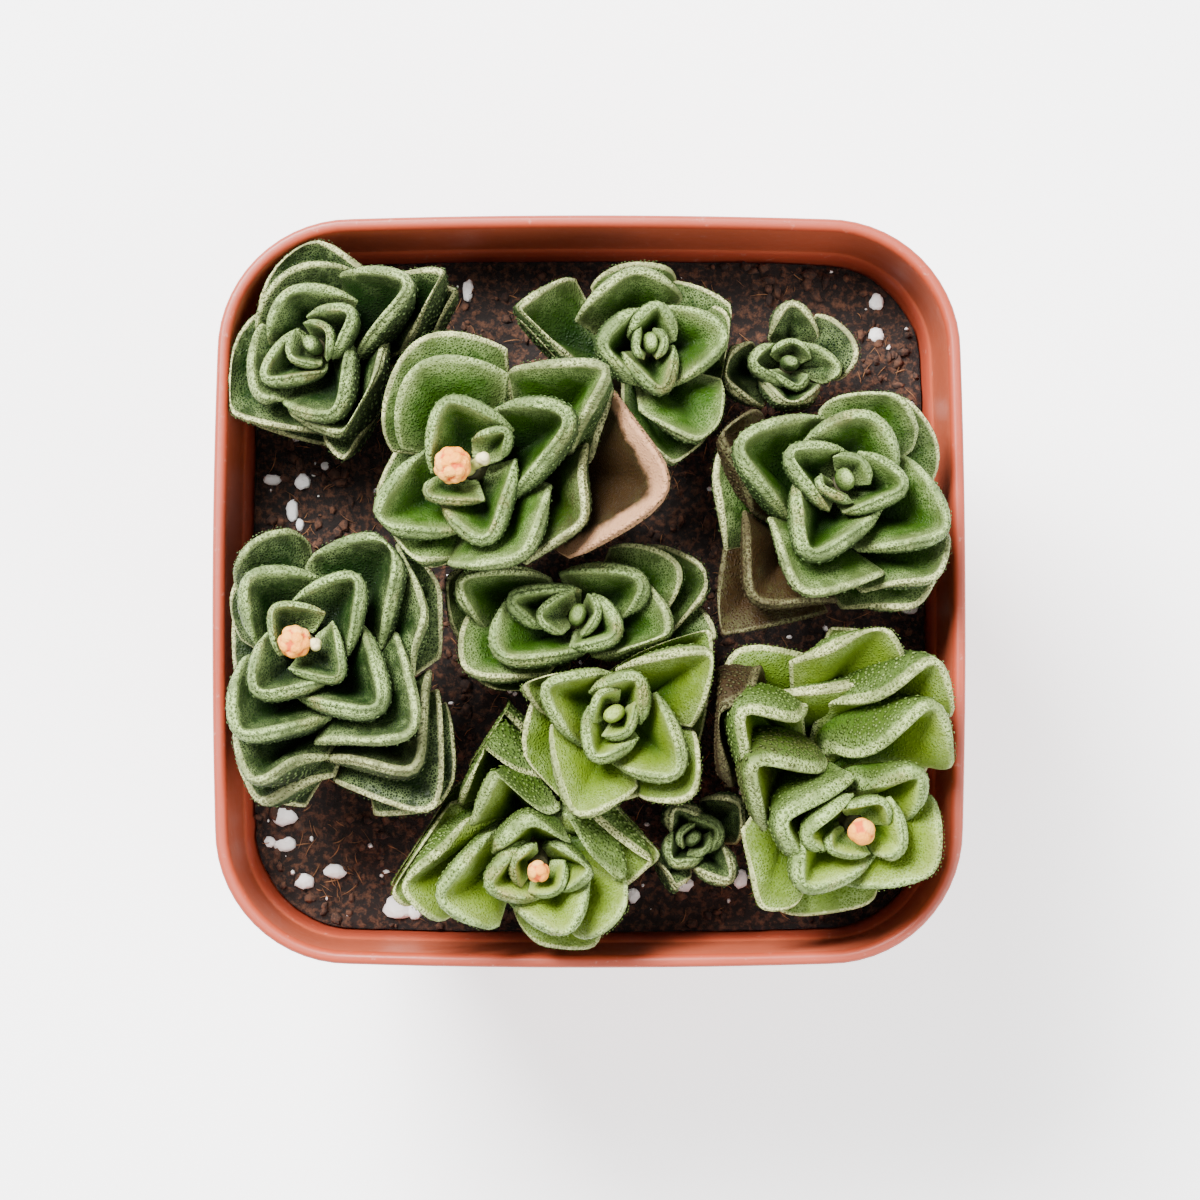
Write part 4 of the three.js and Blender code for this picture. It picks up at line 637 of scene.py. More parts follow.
def pot_inside(z):
    """Half width of the pot's inner face at height z."""
    if z >= LEDGE:
        return LIP_HALF - LIP_WIDTH - COLLAR_DRAFT * (POT_HEIGHT - z) / COLLAR_HEIGHT - 0.6
    high = LIP_HALF - COLLAR_DRAFT - COLLAR_STEP - WALL
    low = FOOT_HALF - WALL
    return low + (high - low) * z / LEDGE


def corner_at(z):
    """Corner radius of the pot at height z."""
    return FOOT_CORNER + (LIP_CORNER - FOOT_CORNER) * z / POT_HEIGHT


def rounded(points, steps=3, share=0.32):
    """Profile whose inner corners are cut by short curves: each corner gives way to a quadratic
    curve between points a share of the way along its two sides."""
    points = np.asarray(points, float)
    before = points[1:-1] + (points[:-2] - points[1:-1]) * share
    after = points[1:-1] + (points[2:] - points[1:-1]) * share
    t = np.linspace(0, 1, steps + 1)[None, :, None]
    curve = ((1 - t) ** 2 * before[:, None] + 2 * t * (1 - t) * points[1:-1, None]
             + t ** 2 * after[:, None])
    return np.concatenate([points[:1], curve.reshape(-1, points.shape[1]), points[-1:]])


def pot_profile():
    """Half width, corner radius and height along the pot's skin, from under the floor outwards,
    up the wall and collar, over the lip and down the inside."""
    bottom = LIP_HALF - COLLAR_DRAFT
    recess = FOOT_HALF - FOOT_RING
    lip = POT_HEIGHT
    return rounded([
        (recess - 6, FOOT_CORNER - FOOT_RING - 5, FLOOR_RECESS),
        (recess - 0.4, FOOT_CORNER - FOOT_RING - 0.4, FLOOR_RECESS),
        (recess, FOOT_CORNER - FOOT_RING, 0),
        (FOOT_HALF - 0.6, corner_at(0) - 0.6, 0),
        (FOOT_HALF, corner_at(0), 0.8),
        (bottom - COLLAR_STEP, corner_at(LEDGE) - COLLAR_STEP, LEDGE - 0.5),
        (bottom, corner_at(LEDGE), LEDGE),
        (LIP_HALF - 0.35, LIP_CORNER - 0.35, lip - 2.2),
        (LIP_HALF, LIP_CORNER, lip - 1.7),
        (LIP_HALF, LIP_CORNER, lip - 0.4),
        (LIP_HALF - 0.4, LIP_CORNER - 0.4, lip),
        (LIP_HALF - LIP_WIDTH, LIP_CORNER - LIP_WIDTH, lip),
        (pot_inside(lip - 0.6), LIP_CORNER - WALL - 0.5, lip - 0.6),
        (pot_inside(LEDGE), corner_at(LEDGE) - WALL - 0.6, LEDGE + 0.1),
        (pot_inside(LEDGE - 0.3), corner_at(LEDGE) - WALL - 1.2, LEDGE - 0.3),
        (pot_inside(FLOOR_TOP + 1.2), corner_at(FLOOR_TOP + 1.2) - WALL - 1.2, FLOOR_TOP + 1.2),
        (pot_inside(FLOOR_TOP) - 0.8, corner_at(FLOOR_TOP) - WALL - 2, FLOOR_TOP),
        (pot_inside(FLOOR_TOP) - 6, 4, FLOOR_TOP),
    ])


class CRASSULA_OT_pot(bpy.types.Operator):
    """Make the nursery pot: its profile carried round a rounded square"""

    bl_idname = "crassula.pot"
    bl_label = "Nursery Pot"

    def execute(self, context):
        skin = Skin()
        skin.add(*tube(np.stack([square_ring(s, r, z) for s, r, z in pot_profile()])))
        pot = skin.piece("nursery_pot", [plastic(context.scene.crassula_pot)])
        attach(pot, "root")
        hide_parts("pot")
        return {"FINISHED"}


# ------------------------------------------------------------------------------------------
# Potting mix
# ------------------------------------------------------------------------------------------

# Rings of the mix from its edge to its middle
MIX_RINGS = 83


def mix_height(x, y):
    """Height of the mix at x, y: the solid's long waves with crumbs of three sizes on them."""
    waves = 0.6 * np.sin(0.31 * x + 1.3) * np.cos(0.27 * y) + 0.4 * np.sin(0.53 * y - 0.4 * x)
    crumbs = (0.55 * value_noise(x, y, 2.3, SEED) + 0.34 * np.abs(value_noise(x, y, 1.1, SEED + 1))
              + 0.2 * value_noise(x, y, 0.55, SEED + 2))
    return SOIL_TOP + SOIL_RELIEF * waves + crumbs - 0.15


def within_pot(rng, count, inset=0.6):
    """Random places on the mix, drawn in a square and kept inside the pot's rounded corners."""
    s = pot_inside(SOIL_TOP) - inset
    r = corner_at(SOIL_TOP) - 2
    xy = rng.uniform(-s, s, (count * 2, 2))
    out = np.maximum(np.abs(xy) - (s - r), 0)
    return xy[np.hypot(out[:, 0], out[:, 1]) < r][:count]


def lumps(centres, radii, rng, rough=0.22, flat=0.8, rings=4, around=7):
    """Irregular lumps: a sphere's latitude rings, each point drawn in or out at random."""
    n = len(centres)
    form, quads, caps = ball(rings, around)
    draw = 1 + rough * rng.uniform(-1, 1, (n, len(form), 1))
    turn = rng.uniform(0, 2 * np.pi, n)
    c, s = np.cos(turn)[:, None], np.sin(turn)[:, None]
    stretch = rng.uniform(0.7, 1.25, (n, 1))
    p = form[None] * draw
    x = (p[..., 0] * c - p[..., 1] * s) * stretch
    y = (p[..., 0] * s + p[..., 1] * c) / stretch
    shape = np.stack([x, y, p[..., 2] * flat], -1) * radii[:, None, None]
    offset = (np.arange(n) * len(form))[:, None, None]
    return (shape + centres[:, None], (quads + offset).reshape(-1, 4),
            (caps + offset).reshape(-1, 3))


# Rings of a fibre and points of a ring
FIBRE_GRID = (6, 3)


def fibres(rng, count):
    """Coir fibres: three-sided tubes that lie on the mix along gently bent lines."""
    sections, sides = FIBRE_GRID
    xy = within_pot(rng, count, inset=2.5)
    n = len(xy)
    way = rng.uniform(0, 2 * np.pi, (n, 1))
    way = way + rng.uniform(-0.5, 0.5, (n, 1)) * np.linspace(-1, 1, sections)
    step = rng.uniform(0.15, 0.6, (n, 1)) * np.ones((1, sections))
    x = xy[:, :1] + np.cumsum(np.cos(way) * step, axis=1)
    y = xy[:, 1:] + np.cumsum(np.sin(way) * step, axis=1)
    limit = pot_inside(SOIL_TOP) - 1.0
    x, y = np.clip(x, -limit, limit), np.clip(y, -limit, limit)
    lift = rng.uniform(-0.15, 0.6, (n, 1)) * np.sin(np.linspace(0.1, np.pi, sections)) + 0.1
    line = np.stack([x, y, mix_height(x, y) + lift], -1)
    thick = rng.uniform(0.04, 0.10, (n, 1)) * np.sin(np.linspace(0.35, np.pi - 0.35, sections))
    across = np.stack([-np.sin(way), np.cos(way), np.zeros_like(way)], -1)
    a = circle(sides)
    ring = across[:, :, None] * np.cos(a)[:, None] + np.array([0, 0, 1.0]) * np.sin(a)[:, None]
    points = line[:, :, None] + ring * thick[:, :, None, None]
    quads = grid_quads(sections, sides, closed=True)
    ends = np.array([[0, 2, 1], (sections - 1) * sides + np.arange(sides)])
    offset = (np.arange(n) * sections * sides)[:, None, None]
    return points.reshape(-1, 3), (quads + offset).reshape(-1, 4), (ends + offset).reshape(-1, 3)


class CRASSULA_OT_potting_mix(bpy.types.Operator):
    """Make the potting mix with its crumbs, coir fibres and perlite"""

    bl_idname = "crassula.potting_mix"
    bl_label = "Potting Mix"

    def execute(self, context):
        settings = context.scene.crassula_mix
        rng = np.random.default_rng(SEED)
        skin = Skin()
        self.body(skin)
        xy = within_pot(rng, settings.crumbs)
        size = rng.uniform(0.25, 0.95, len(xy)) ** 1.4
        centres = np.column_stack([xy, mix_height(xy[:, 0], xy[:, 1]) + 0.15 * size])
        p, q, t = lumps(centres, size, rng, rough=0.35, flat=0.6, rings=3, around=5)
        shade = np.repeat(rng.uniform(0, 1, (len(xy), 1)), p.shape[1], axis=0)
        skin.add(p, q, t, slot=1, tone=np.repeat(shade, 3, axis=1))
        p, q, t = fibres(rng, settings.fibres)
        each = math.prod(FIBRE_GRID)
        shade = np.repeat(rng.uniform(0, 1, (len(p) // each, 1)), each, axis=0)
        skin.add(p, q, t, slot=2, tone=np.repeat(shade, 3, axis=1))
        spots = np.array(PERLITE)
        centres = np.column_stack([spots[:, :2], mix_height(spots[:, 0], spots[:, 1]) + 0.2])
        centres[:, 2] = np.minimum(centres[:, 2], SOIL_TOP + 0.5)
        skin.add(*lumps(centres, spots[:, 2], rng, rough=0.16, flat=0.62, rings=7, around=12),
                 slot=3)
        xy = within_pot(rng, settings.specks)
        size = rng.uniform(0.12, 0.5, len(xy)) ** 1.3
        centres = np.column_stack([xy, mix_height(xy[:, 0], xy[:, 1]) + 0.1])
        skin.add(*lumps(centres, size, rng, rough=0.3, rings=3, around=6), slot=3)
        mix = skin.piece("potting_mix", mix_materials(settings))
        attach(mix, "root")
        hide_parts("soil")
        return {"FINISHED"}

    @staticmethod
    def body(skin):
        """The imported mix: rings of the pot's inside from the floor up, then rings that shrink to
        the middle at the height of the mix."""
        fine = {"corner": 26, "side": 30}
        heights = (FLOOR_TOP + 1.4, 30, 55, SOIL_TOP - 1.0, SOIL_TOP)
        *walls, edge = [square_ring(pot_inside(z) - SOIL_CLEAR, corner_at(z) - WALL - 1.2, z,
                                    **fine) for z in heights]
        foot = square_ring(pot_inside(heights[0]) - SOIL_CLEAR - 1.2, corner_at(0) - WALL - 2.6,
                           FLOOR_TOP, **fine)
        shares = np.linspace(1, 0, MIX_RINGS + 1)[:-1]
        top = edge[None] * shares[:, None, None]
        top[..., 2] = mix_height(top[..., 0], top[..., 1]) - 0.4 * (shares > 0.985)[:, None]
        points, quads, caps = tube(np.concatenate([np.stack([foot, *walls]), top]))
        points[-2, 2] = mix_height(0, 0)
        skin.add(points, quads, caps)


# ------------------------------------------------------------------------------------------
# Leaves
# ------------------------------------------------------------------------------------------

class Leaf(NamedTuple):
    """Sizes of one leaf, round its stem's own upright axis: the corner where its margin and keel
    meet, both ends of the margin, how rounded that is, heights of tip and root, thickness, slope
    at the tip, and the distances of root and corner from the axis."""

    corner: np.ndarray
    ends: np.ndarray
    cut: float
    tip: float
    base: float
    thick: float
    slope: float
    root: float
    reach: float


def profile(leaf, w):
    """Share of the way out and height of a leaf's face at w from root to tip: a quadratic curve
    that ends at the tip's slope."""
    s = 0.55 * math.hypot(leaf.reach - leaf.root, leaf.tip - leaf.base)
    r1 = leaf.reach - s * math.cos(leaf.slope)
    z1 = leaf.tip - s * math.sin(leaf.slope)
    out = 2 * w * (1 - w) * (r1 - leaf.root) / (leaf.reach - leaf.root) + w * w
    return out, (1 - w) ** 2 * leaf.base + 2 * w * (1 - w) * z1 + w * w * leaf.tip


def measured(stem, pair, side):
    """The leaf's row of the measured table, with the usual values where it gives none."""
    for row in SEEN.get(stem.node, ()):
        if row[:2] == (pair, side):
            return (*row, *(0.25, 0, 0)[len(row) - 8:])
    return None


def rough_leaf(stem, index, pair, side):
    """One leaf's sizes. A measured leaf takes its corner and the ends of its margin from the
    table, any other one stands opposite its partner with a usual shape."""
    size = stem.size
    reach, tip, base, thick, half, slope = PAIRS[min(pair, len(PAIRS) - 1)]
    leaf = Leaf(None, None, 0.35, tip * size, base * size, thick * size, math.radians(slope),
                STEM_RADIUS * size * 0.7, reach * size)
    own = measured(stem, pair, side)
    if own:
        cut, lift, steeper = own[8:]
        leaf = leaf._replace(cut=cut, tip=leaf.tip + lift, slope=leaf.slope + math.radians(steeper))
        corner = unplaced(stem, own[2:4], leaf.tip)
        reach = math.hypot(*corner)
        leaf = leaf._replace(reach=reach, root=min(leaf.root, 0.6 * reach))
        low = profile(leaf, 1 - DROP)[1]
        ends = [unplaced(stem, own[i:i + 2], low) for i in (4, 6)]
        return leaf._replace(corner=corner, ends=ends)
    a = math.radians(stem.turn + stem.cross * (pair % 2) + 8 * chance(index, pair, side, 3))
    a += side * math.pi
    if measured(stem, pair, 1 - side):
        corner = rough_leaf(stem, index, pair, 1 - side).corner
        a = math.atan2(corner[1], corner[0]) + math.pi
    reach = leaf.reach * (1 + 0.05 * chance(index, pair, side, 1))
    turns = a + np.radians([-half, half])
    return leaf._replace(reach=reach, corner=reach * np.array([math.cos(a), math.sin(a)]),
                         ends=0.74 * reach * np.column_stack([np.cos(turns), np.sin(turns)]))


def leaf_of(stem, index, pair, side):
    """One leaf's sizes, its margin kept clear of its partner's."""
    leaf, other = (rough_leaf(stem, index, pair, s) for s in (side, 1 - side))
    way, opposite = (math.atan2(one.corner[1], one.corner[0]) for one in (leaf, other))
    turned = [(wrapped(math.atan2(end[1], end[0]) - way), end) for end in leaf.ends]
    turned.sort(key=lambda item: item[0])
    ends = []
    for (turn, end), s in zip(turned, (-1, 1)):
        gap = s * (opposite - way) % (2 * math.pi)
        most = min(math.radians(84), gap / 2 - math.radians(6))
        turn = way + s * min(max(turn * s, math.radians(25)), most)
        r = max(math.hypot(*end), 2.2 * leaf.root)
        ends.append((r * math.cos(turn), r * math.sin(turn)))
    return leaf._replace(ends=np.array(ends))


def wrapped(angle):
    """An angle from minus to plus half a turn."""
    return (angle + math.pi) % (2 * math.pi) - math.pi


def ramp(x, cut):
    """Rises from 0 at x = -1 to 1 at x = 1, flat at first and steep in the end: one arm of a
    hyperbola with a rounding of `cut`."""
    return (x + np.sqrt(x * x + cut * cut) + 1 - math.sqrt(1 + cut * cut)) / 2


def face_point(leaf, u, v):
    """Upper face at u from root to tip and v across. The margin is a corner rounded between its
    two ends, and each line from the root ring to the margin follows the leaf's profile."""
    u, v = np.broadcast_arrays(np.asarray(u, float), np.asarray(v, float))
    g = ramp(0, leaf.cut)
    corner = (leaf.corner - g * leaf.ends.sum(0)) / (1 - 2 * g)
    left, right = ramp(-v, leaf.cut)[..., None], ramp(v, leaf.cut)[..., None]
    rim = corner + (leaf.ends[0] - corner) * left + (leaf.ends[1] - corner) * right
    limit = 1 - DROP * np.abs(v) ** 3.4
    phi = np.arctan2(rim[..., 1], rim[..., 0])
    root = leaf.root * np.stack([np.cos(phi), np.sin(phi)], -1)
    out, z = profile(leaf, u * limit)
    share = out / profile(leaf, limit)[0] * (1 - 0.06 * np.abs(v) ** 8)
    return np.concatenate([root + (rim - root) * share[..., None], z[..., None]], -1)


def lean_of(stem):
    """Turn of a stem from upright to its lean, about the level line across the way it leans."""
    t, a = math.radians(stem.tilt), math.radians(stem.toward)
    k = np.array([-math.sin(a), math.cos(a), 0])
    cross = np.array([[0, -k[2], k[1]], [k[2], 0, -k[0]], [-k[1], k[0], 0]])
    return np.eye(3) + math.sin(t) * cross + (1 - math.cos(t)) * cross @ cross


def sideways(stem, z):
    """Offset of the bent axis at height z below its apex."""
    deep = np.maximum(-z - 3, 0)
    off = -stem.bend * deep ** 2 / (deep ** 2 + 100)
    a = math.radians(stem.toward)
    return off * math.cos(a), off * math.sin(a)


def place(stem, q):
    """Points near the stem's own axis, bent with the older stem, leaned and set in the pot."""
    q = np.array(q, float)
    x, y = sideways(stem, q[..., 2])
    q[..., 0] += x
    q[..., 1] += y
    return q @ lean_of(stem).T + np.array(stem.apex)


def unplaced(stem, seen, height):
    """The point at a height beside the stem's own axis that shows at `seen` from above the lip,
    found in four rounds of its height in the pot and its place at that height."""
    lean = lean_of(stem)
    z = stem.apex[2] + height
    for _ in range(4):
        f = (EYE - z) / EYE_TO_LIP
        at = np.array([seen[0] * f, (seen[1] + EYE_BACK) * f - EYE_BACK])
        q = np.linalg.solve(lean[:2, :2], at - np.array(stem.apex[:2]) - lean[:2, 2] * height)
        z = stem.apex[2] + lean[2, :2] @ q + lean[2, 2] * height
    return q - np.array(sideways(stem, height))


AXIS_STEP = 0.5


def axis_of(stem):
    """Points of the stem's axis from its apex down to the mix, an even step apart."""
    d = np.arange(0, 45.01, AXIS_STEP)
    p = place(stem, np.column_stack([0 * d, 0 * d, -d]))
    low = np.nonzero(p[:, 2] < LEAF_FLOOR + 1.2)[0]
    return p[:low[0]] if len(low) else p


AXES = [axis_of(stem) for stem in STEMS]


class Divider(NamedTuple):
    """Upright surface between two neighbours, shifted at the top so that one reaches over."""

    first: str
    second: str
    at: tuple
    way: float
    level: float
    over: float


def divider(names, at, way, level, over):
    """A dividing surface through a place seen from above, moved to the height it is given for."""
    f = (EYE - level) / EYE_TO_LIP
    at = (at[0] * f, (at[1] + EYE_BACK) * f - EYE_BACK)
    return Divider(*names, at, math.radians(way), level, over)


DIVIDERS = [divider(names, *row) for names, row in PRESSES.items()]


def eased(d, soft):
    """Distance past a limit, eased along an exponential so that it never passes it."""
    if soft == 0:
        return np.minimum(d, 0)
    return np.where(d > -soft, -soft * np.exp(-(np.maximum(d, -soft) + soft) / soft), d)


def clear_of(index, q):
    """Leaf points bent clear of the mix, the neighbours and the pot's wall."""
    p = np.array(q, float)
    low = LEAF_FLOOR - p[..., 2]
    p[..., 2] -= eased(low, FLOOR_SOFT) - low
    for soft in (PRESS_SOFT, 0, 0):
        for d in DIVIDERS:
            if STEMS[index].node not in (d.first, d.second):
                continue
            sign = 1 if d.first == STEMS[index].node else -1
            c, s = math.cos(d.way), math.sin(d.way)
            across = (p[..., 0] - d.at[0]) * c + (p[..., 1] - d.at[1]) * s
            across = across - d.over * np.tanh((p[..., 2] - d.level) / REACH_HEIGHT)
            past = across * sign + PRESS_GAP
            move = (eased(past, soft) - past) * sign
            p[..., 0] += move * c
            p[..., 1] += move * s
    z = p[..., 2]
    high = ROOM_HIGH + (np.minimum(z, ROOM_END) - ROOM_START) * ROOM_GROWTH
    s = np.where(z < ROOM_START, ROOM_LOW, high)
    r = ROOM_CORNER
    c = np.abs(p[..., :2]) - (s - r)[..., None]
    out = np.maximum(c, 0)
    size = np.hypot(out[..., 0], out[..., 1])
    past = size + np.minimum(c.max(-1), 0) - r
    flat = np.where((c[..., 0] > c[..., 1])[..., None], (1.0, 0.0), (0.0, 1.0))
    way = np.where((size > 1e-9)[..., None], out / np.maximum(size, 1e-9)[..., None], flat)
    p[..., :2] += (eased(past, WALL_SOFT) - past)[..., None] * way * np.sign(p[..., :2])
    return p


# Share of a leaf's thickness that is left at its margin, and swelling of its face against it
MARGIN_THICK, SWELL = 0.24, 0.22


def leaf_skin(stem, index, leaf, u, v):
    """Face and back of a leaf, set in the pot. The back lies under the face by a thickness that
    falls off in a round towards the margin, and each half of the face swells a little."""
    e = 0.02
    at = face_point(leaf, u, v)
    du = face_point(leaf, u + e, v) - face_point(leaf, u - e, v)
    dv = face_point(leaf, u, v + e) - face_point(leaf, u, v - e)
    normal = unit(np.cross(du, dv))
    u, v = np.clip(u, 0, 1), np.clip(np.abs(v), 0, 1)
    full = np.sqrt(1 - v ** 4) * np.sqrt(1 - u ** 6)
    thick = leaf.thick * (MARGIN_THICK + (1 - MARGIN_THICK) * full)
    swell = SWELL * leaf.thick * np.sin(np.pi * v) * (1 - u ** 4)
    face = at + normal * swell[..., None]
    back = at - normal * thick[..., None]
    return clear_of(index, place(stem, face)), clear_of(index, place(stem, back))


# Rows of a leaf from root to tip and across, closer towards the margin
LEAF_U = np.sin(np.linspace(0, 1, 13) * np.pi / 2) ** 1.15
LEAF_V = np.linspace(-1, 1, 21)
LEAF_V = np.sign(LEAF_V) * np.sin(np.abs(LEAF_V) * np.pi / 2) ** 1.25
RIM_ANGLES = np.radians([45, 90, 135])
FACE, BACK, PAPILLA, BARE = range(4)

# Share of the way out at which the skin is looked at to find the way past the margin
INNER = 0.93


def rim_path():
    """Places on a leaf grid's border, once round: out along one side, across the tip, back along
    the other side and across the root."""
    rows, columns = len(LEAF_U), len(LEAF_V)
    i = [*range(rows), *[rows - 1] * (columns - 2), *range(rows - 1, -1, -1), *[0] * (columns - 2)]
    j = [*[0] * rows, *range(1, columns - 1), *[columns - 1] * rows, *range(columns - 2, 0, -1)]
    return np.array(i), np.array(j)


RIM_I, RIM_J = rim_path()


def past_margin(stem, index, leaf, u, v, face, back):
    """Way from back to face and way out past the margin, square to each other, at places on it."""
    inner, _ = leaf_skin(stem, index, leaf, u * INNER, v * INNER)
    up = unit(face - back)
    out = face - inner
    return up, unit(out - up * (out * up).sum(-1, keepdims=True))


def add_leaf(skin, stem, index, leaf, tone):
    """Adds one leaf as a closed body: face, rounded margin and back."""
    u, v = np.meshgrid(LEAF_U, LEAF_V, indexing="ij")
    face, back = leaf_skin(stem, index, leaf, u, v)
    along = np.linalg.norm(np.diff(face, axis=0), axis=-1).sum(0).mean()
    across = np.linalg.norm(np.diff(face, axis=1), axis=-1).sum(1).max() / 2
    margin = np.minimum((1 - u) * along, (1 - np.abs(v)) * across * (0.35 + 0.65 * u))
    values = np.stack([margin / 10, np.abs(v) * across * u / 10, 0 * u], -1).reshape(-1, 3)
    uv = np.stack([u, v * 0.5 + 0.5], -1).reshape(-1, 2)
    quads = grid_quads(*u.shape)
    skin.add(face, quads=quads, slot=FACE, uv=uv, tone=tone, skin=values)
    skin.add(back, quads=quads[:, ::-1], slot=BACK, uv=uv, tone=tone, skin=values)
    top, low = face[RIM_I, RIM_J], back[RIM_I, RIM_J]
    _, out = past_margin(stem, index, leaf, u[RIM_I, RIM_J], v[RIM_I, RIM_J], top, low)
    rise = top - low
    bulge = 0.55 * np.linalg.norm(rise, axis=-1, keepdims=True)
    bulge = bulge * (u[RIM_I, RIM_J] > 0.05)[:, None]
    middle = (top + low) / 2
    round_off = (middle + rise * math.cos(a) / 2 + out * bulge * math.sin(a) for a in RIM_ANGLES)
    rings = [top, *round_off, low]
    strip = np.stack(rings, axis=1)
    quads = grid_quads(len(top), len(rings))
    last = np.arange(len(rings) - 1) + (len(top) - 1) * len(rings)
    seam = np.stack([last, last + 1, np.arange(1, len(rings)), np.arange(len(rings) - 1)], -1)
    rim_uv = np.repeat(np.stack([u, v * 0.5 + 0.5], -1)[RIM_I, RIM_J], len(rings), axis=0)
    skin.add(strip, quads=np.concatenate([quads, seam])[:, ::-1], slot=BACK, uv=rim_uv, tone=tone,
             skin=(0.0, 0.5, 0.0))
    return along, across


DOME_SIDES = 6


def add_domes(skin, at, normal, along, radius, height, uv, tone):
    """Adds papillae: a ring on the skin that rises to a point above it and closes below it."""
    side = np.cross(normal, along)
    a = circle(DOME_SIDES)[:, None]
    ring = (along[:, None] * np.cos(a) + side[:, None] * np.sin(a)) * radius[:, None, None]
    ring = at[:, None] + ring + normal[:, None] * (0.35 * height)[:, None, None]
    tops = (at + normal * height[:, None])[:, None]
    lows = (at - normal * radius[:, None] * 0.5)[:, None]
    points = np.concatenate([ring, tops, lows], axis=1)
    up = fan(DOME_SIDES, np.arange(DOME_SIDES))
    down = fan(DOME_SIDES + 1, np.arange(DOME_SIDES)[::-1])
    faces = np.concatenate([up, down]) + (np.arange(len(at)) * points.shape[1])[:, None, None]
    values = np.zeros((len(at), points.shape[1], 3))
    values[:, DOME_SIDES, 2] = 1
    values[:, :DOME_SIDES, 2] = 0.45
    skin.add(points, triangles=faces.reshape(-1, 3), slot=PAPILLA,
             uv=np.repeat(uv, points.shape[1], axis=0), tone=tone, skin=values.reshape(-1, 3))


def back_frame(stem, index, leaf, u, v):
    """Points on the back of a leaf, its outward normal there and the way along it, from small
    differences."""
    e = 0.015
    face, back = leaf_skin(stem, index, leaf, u, v)
    du = leaf_skin(stem, index, leaf, u + e, v)[1] - leaf_skin(stem, index, leaf, u - e, v)[1]
    dv = leaf_skin(stem, index, leaf, u, v + e)[1] - leaf_skin(stem, index, leaf, u, v - e)[1]
    normal = unit(np.cross(dv, du))
    normal *= np.where(((face - back) * normal).sum(-1, keepdims=True) > 0, -1, 1)
    return back, normal, unit(du)


# Where the rows of papillae start from root to tip, how far they go and how far across
PAPILLAE_FROM, PAPILLAE_LONG, PAPILLAE_WIDE = 0.58, 0.40, 0.96

# Size of the beads round the margin against the papillae, and distance between them
BEAD_SIZE = 0.62
BEAD_SPACING, BEAD_SIDE_SPACING = 0.62, 0.7


def add_papillae(skin, stem, index, leaf, tone, rng, settings, along, across):
    """Adds the papillae of one leaf: rows along its back and beads round its margin."""
    spacing, radius, height = (x / MM for x in (settings.spacing, settings.radius, settings.height))
    fine = min(1, 0.45 + leaf.reach / 18)
    rows = max(3, int(0.42 * along / (spacing * fine)))
    columns = max(6, int(1.9 * across / (spacing * fine)))
    i, j = np.meshgrid(np.arange(rows), np.arange(columns), indexing="ij")
    u = PAPILLAE_FROM + PAPILLAE_LONG * (i + 0.5 * (j % 2)) / rows
    v = (2 * (j + 0.5) / columns - 1) * PAPILLAE_WIDE
    u = (u + rng.uniform(-0.3, 0.3, u.shape) * PAPILLAE_LONG / rows).ravel()
    v = (v + rng.uniform(-0.3, 0.3, v.shape) * 2 * PAPILLAE_WIDE / columns).ravel()
    keep = rng.uniform(0, 1, len(u)) > 0.1
    u, v = u[keep], v[keep]
    back, normal, way = back_frame(stem, index, leaf, u, v)
    size = rng.uniform(0.75, 1.2, len(u)) * fine * (1.05 - 0.3 * np.abs(v))
    add_domes(skin, back, normal, way, radius * size, height * size,
              np.column_stack([u, v * 0.5 + 0.5]), tone)
    beads = int(2 * across / (BEAD_SPACING * fine))
    side = int(0.5 * along / (BEAD_SIDE_SPACING * fine))
    v = np.concatenate([np.linspace(-0.98, 0.98, beads), np.repeat([-0.995, 0.995], side)])
    u = np.concatenate([np.full(beads, 0.995), *[np.linspace(0.45, 0.97, side)] * 2])
    face, back = leaf_skin(stem, index, leaf, u, v)
    up, out = past_margin(stem, index, leaf, u, v, face, back)
    drop = rng.uniform(0.35, 0.95, (len(u), 1))
    thick = np.linalg.norm(face - back, axis=-1, keepdims=True)
    at = face + (back - face) * drop + out * 0.42 * thick
    ahead = unit(out * 0.8 - up * 0.5)
    way = unit(np.cross(ahead, up))
    size = rng.uniform(0.65, 1.1, len(u)) * fine
    add_domes(skin, at, ahead, way, radius * BEAD_SIZE * size, height * 0.9 * size,
              np.column_stack([u, v * 0.5 + 0.5]), tone)


def add_stem(skin, stem, index):
    """Adds the bare stem: rings round its bent axis from under the youngest pair down into the
    mix, a little thicker where pairs of leaves stand."""
    sides, sections = 14, 40
    a = circle(sides)
    start = -PAIRS[0][2] * stem.size
    end = len(AXES[index]) * AXIS_STEP - 1.2
    d = np.linspace(start, end, sections)
    grow = 0.55 + 0.45 * np.clip((d - start) / 8, 0, 1)
    radius = STEM_RADIUS * stem.size * grow * (1 + 0.04 * np.cos(d * 2.6))
    rings = place(stem, np.stack([radius[:, None] * np.cos(a), radius[:, None] * np.sin(a),
                                  np.broadcast_to(-d[:, None], (sections, sides))], -1))
    foot = AXES[index][-1]
    ring = STEM_RADIUS * stem.size * np.column_stack([np.cos(a), np.sin(a), 0 * a])
    below = [ring + (foot[0], foot[1], z) for z in (SOIL_TOP + 0.9, SOIL_TOP - STEM_DEPTH + 0.2)]
    skin.add(*tube(np.concatenate([rings, below])[::-1]), slot=BARE)


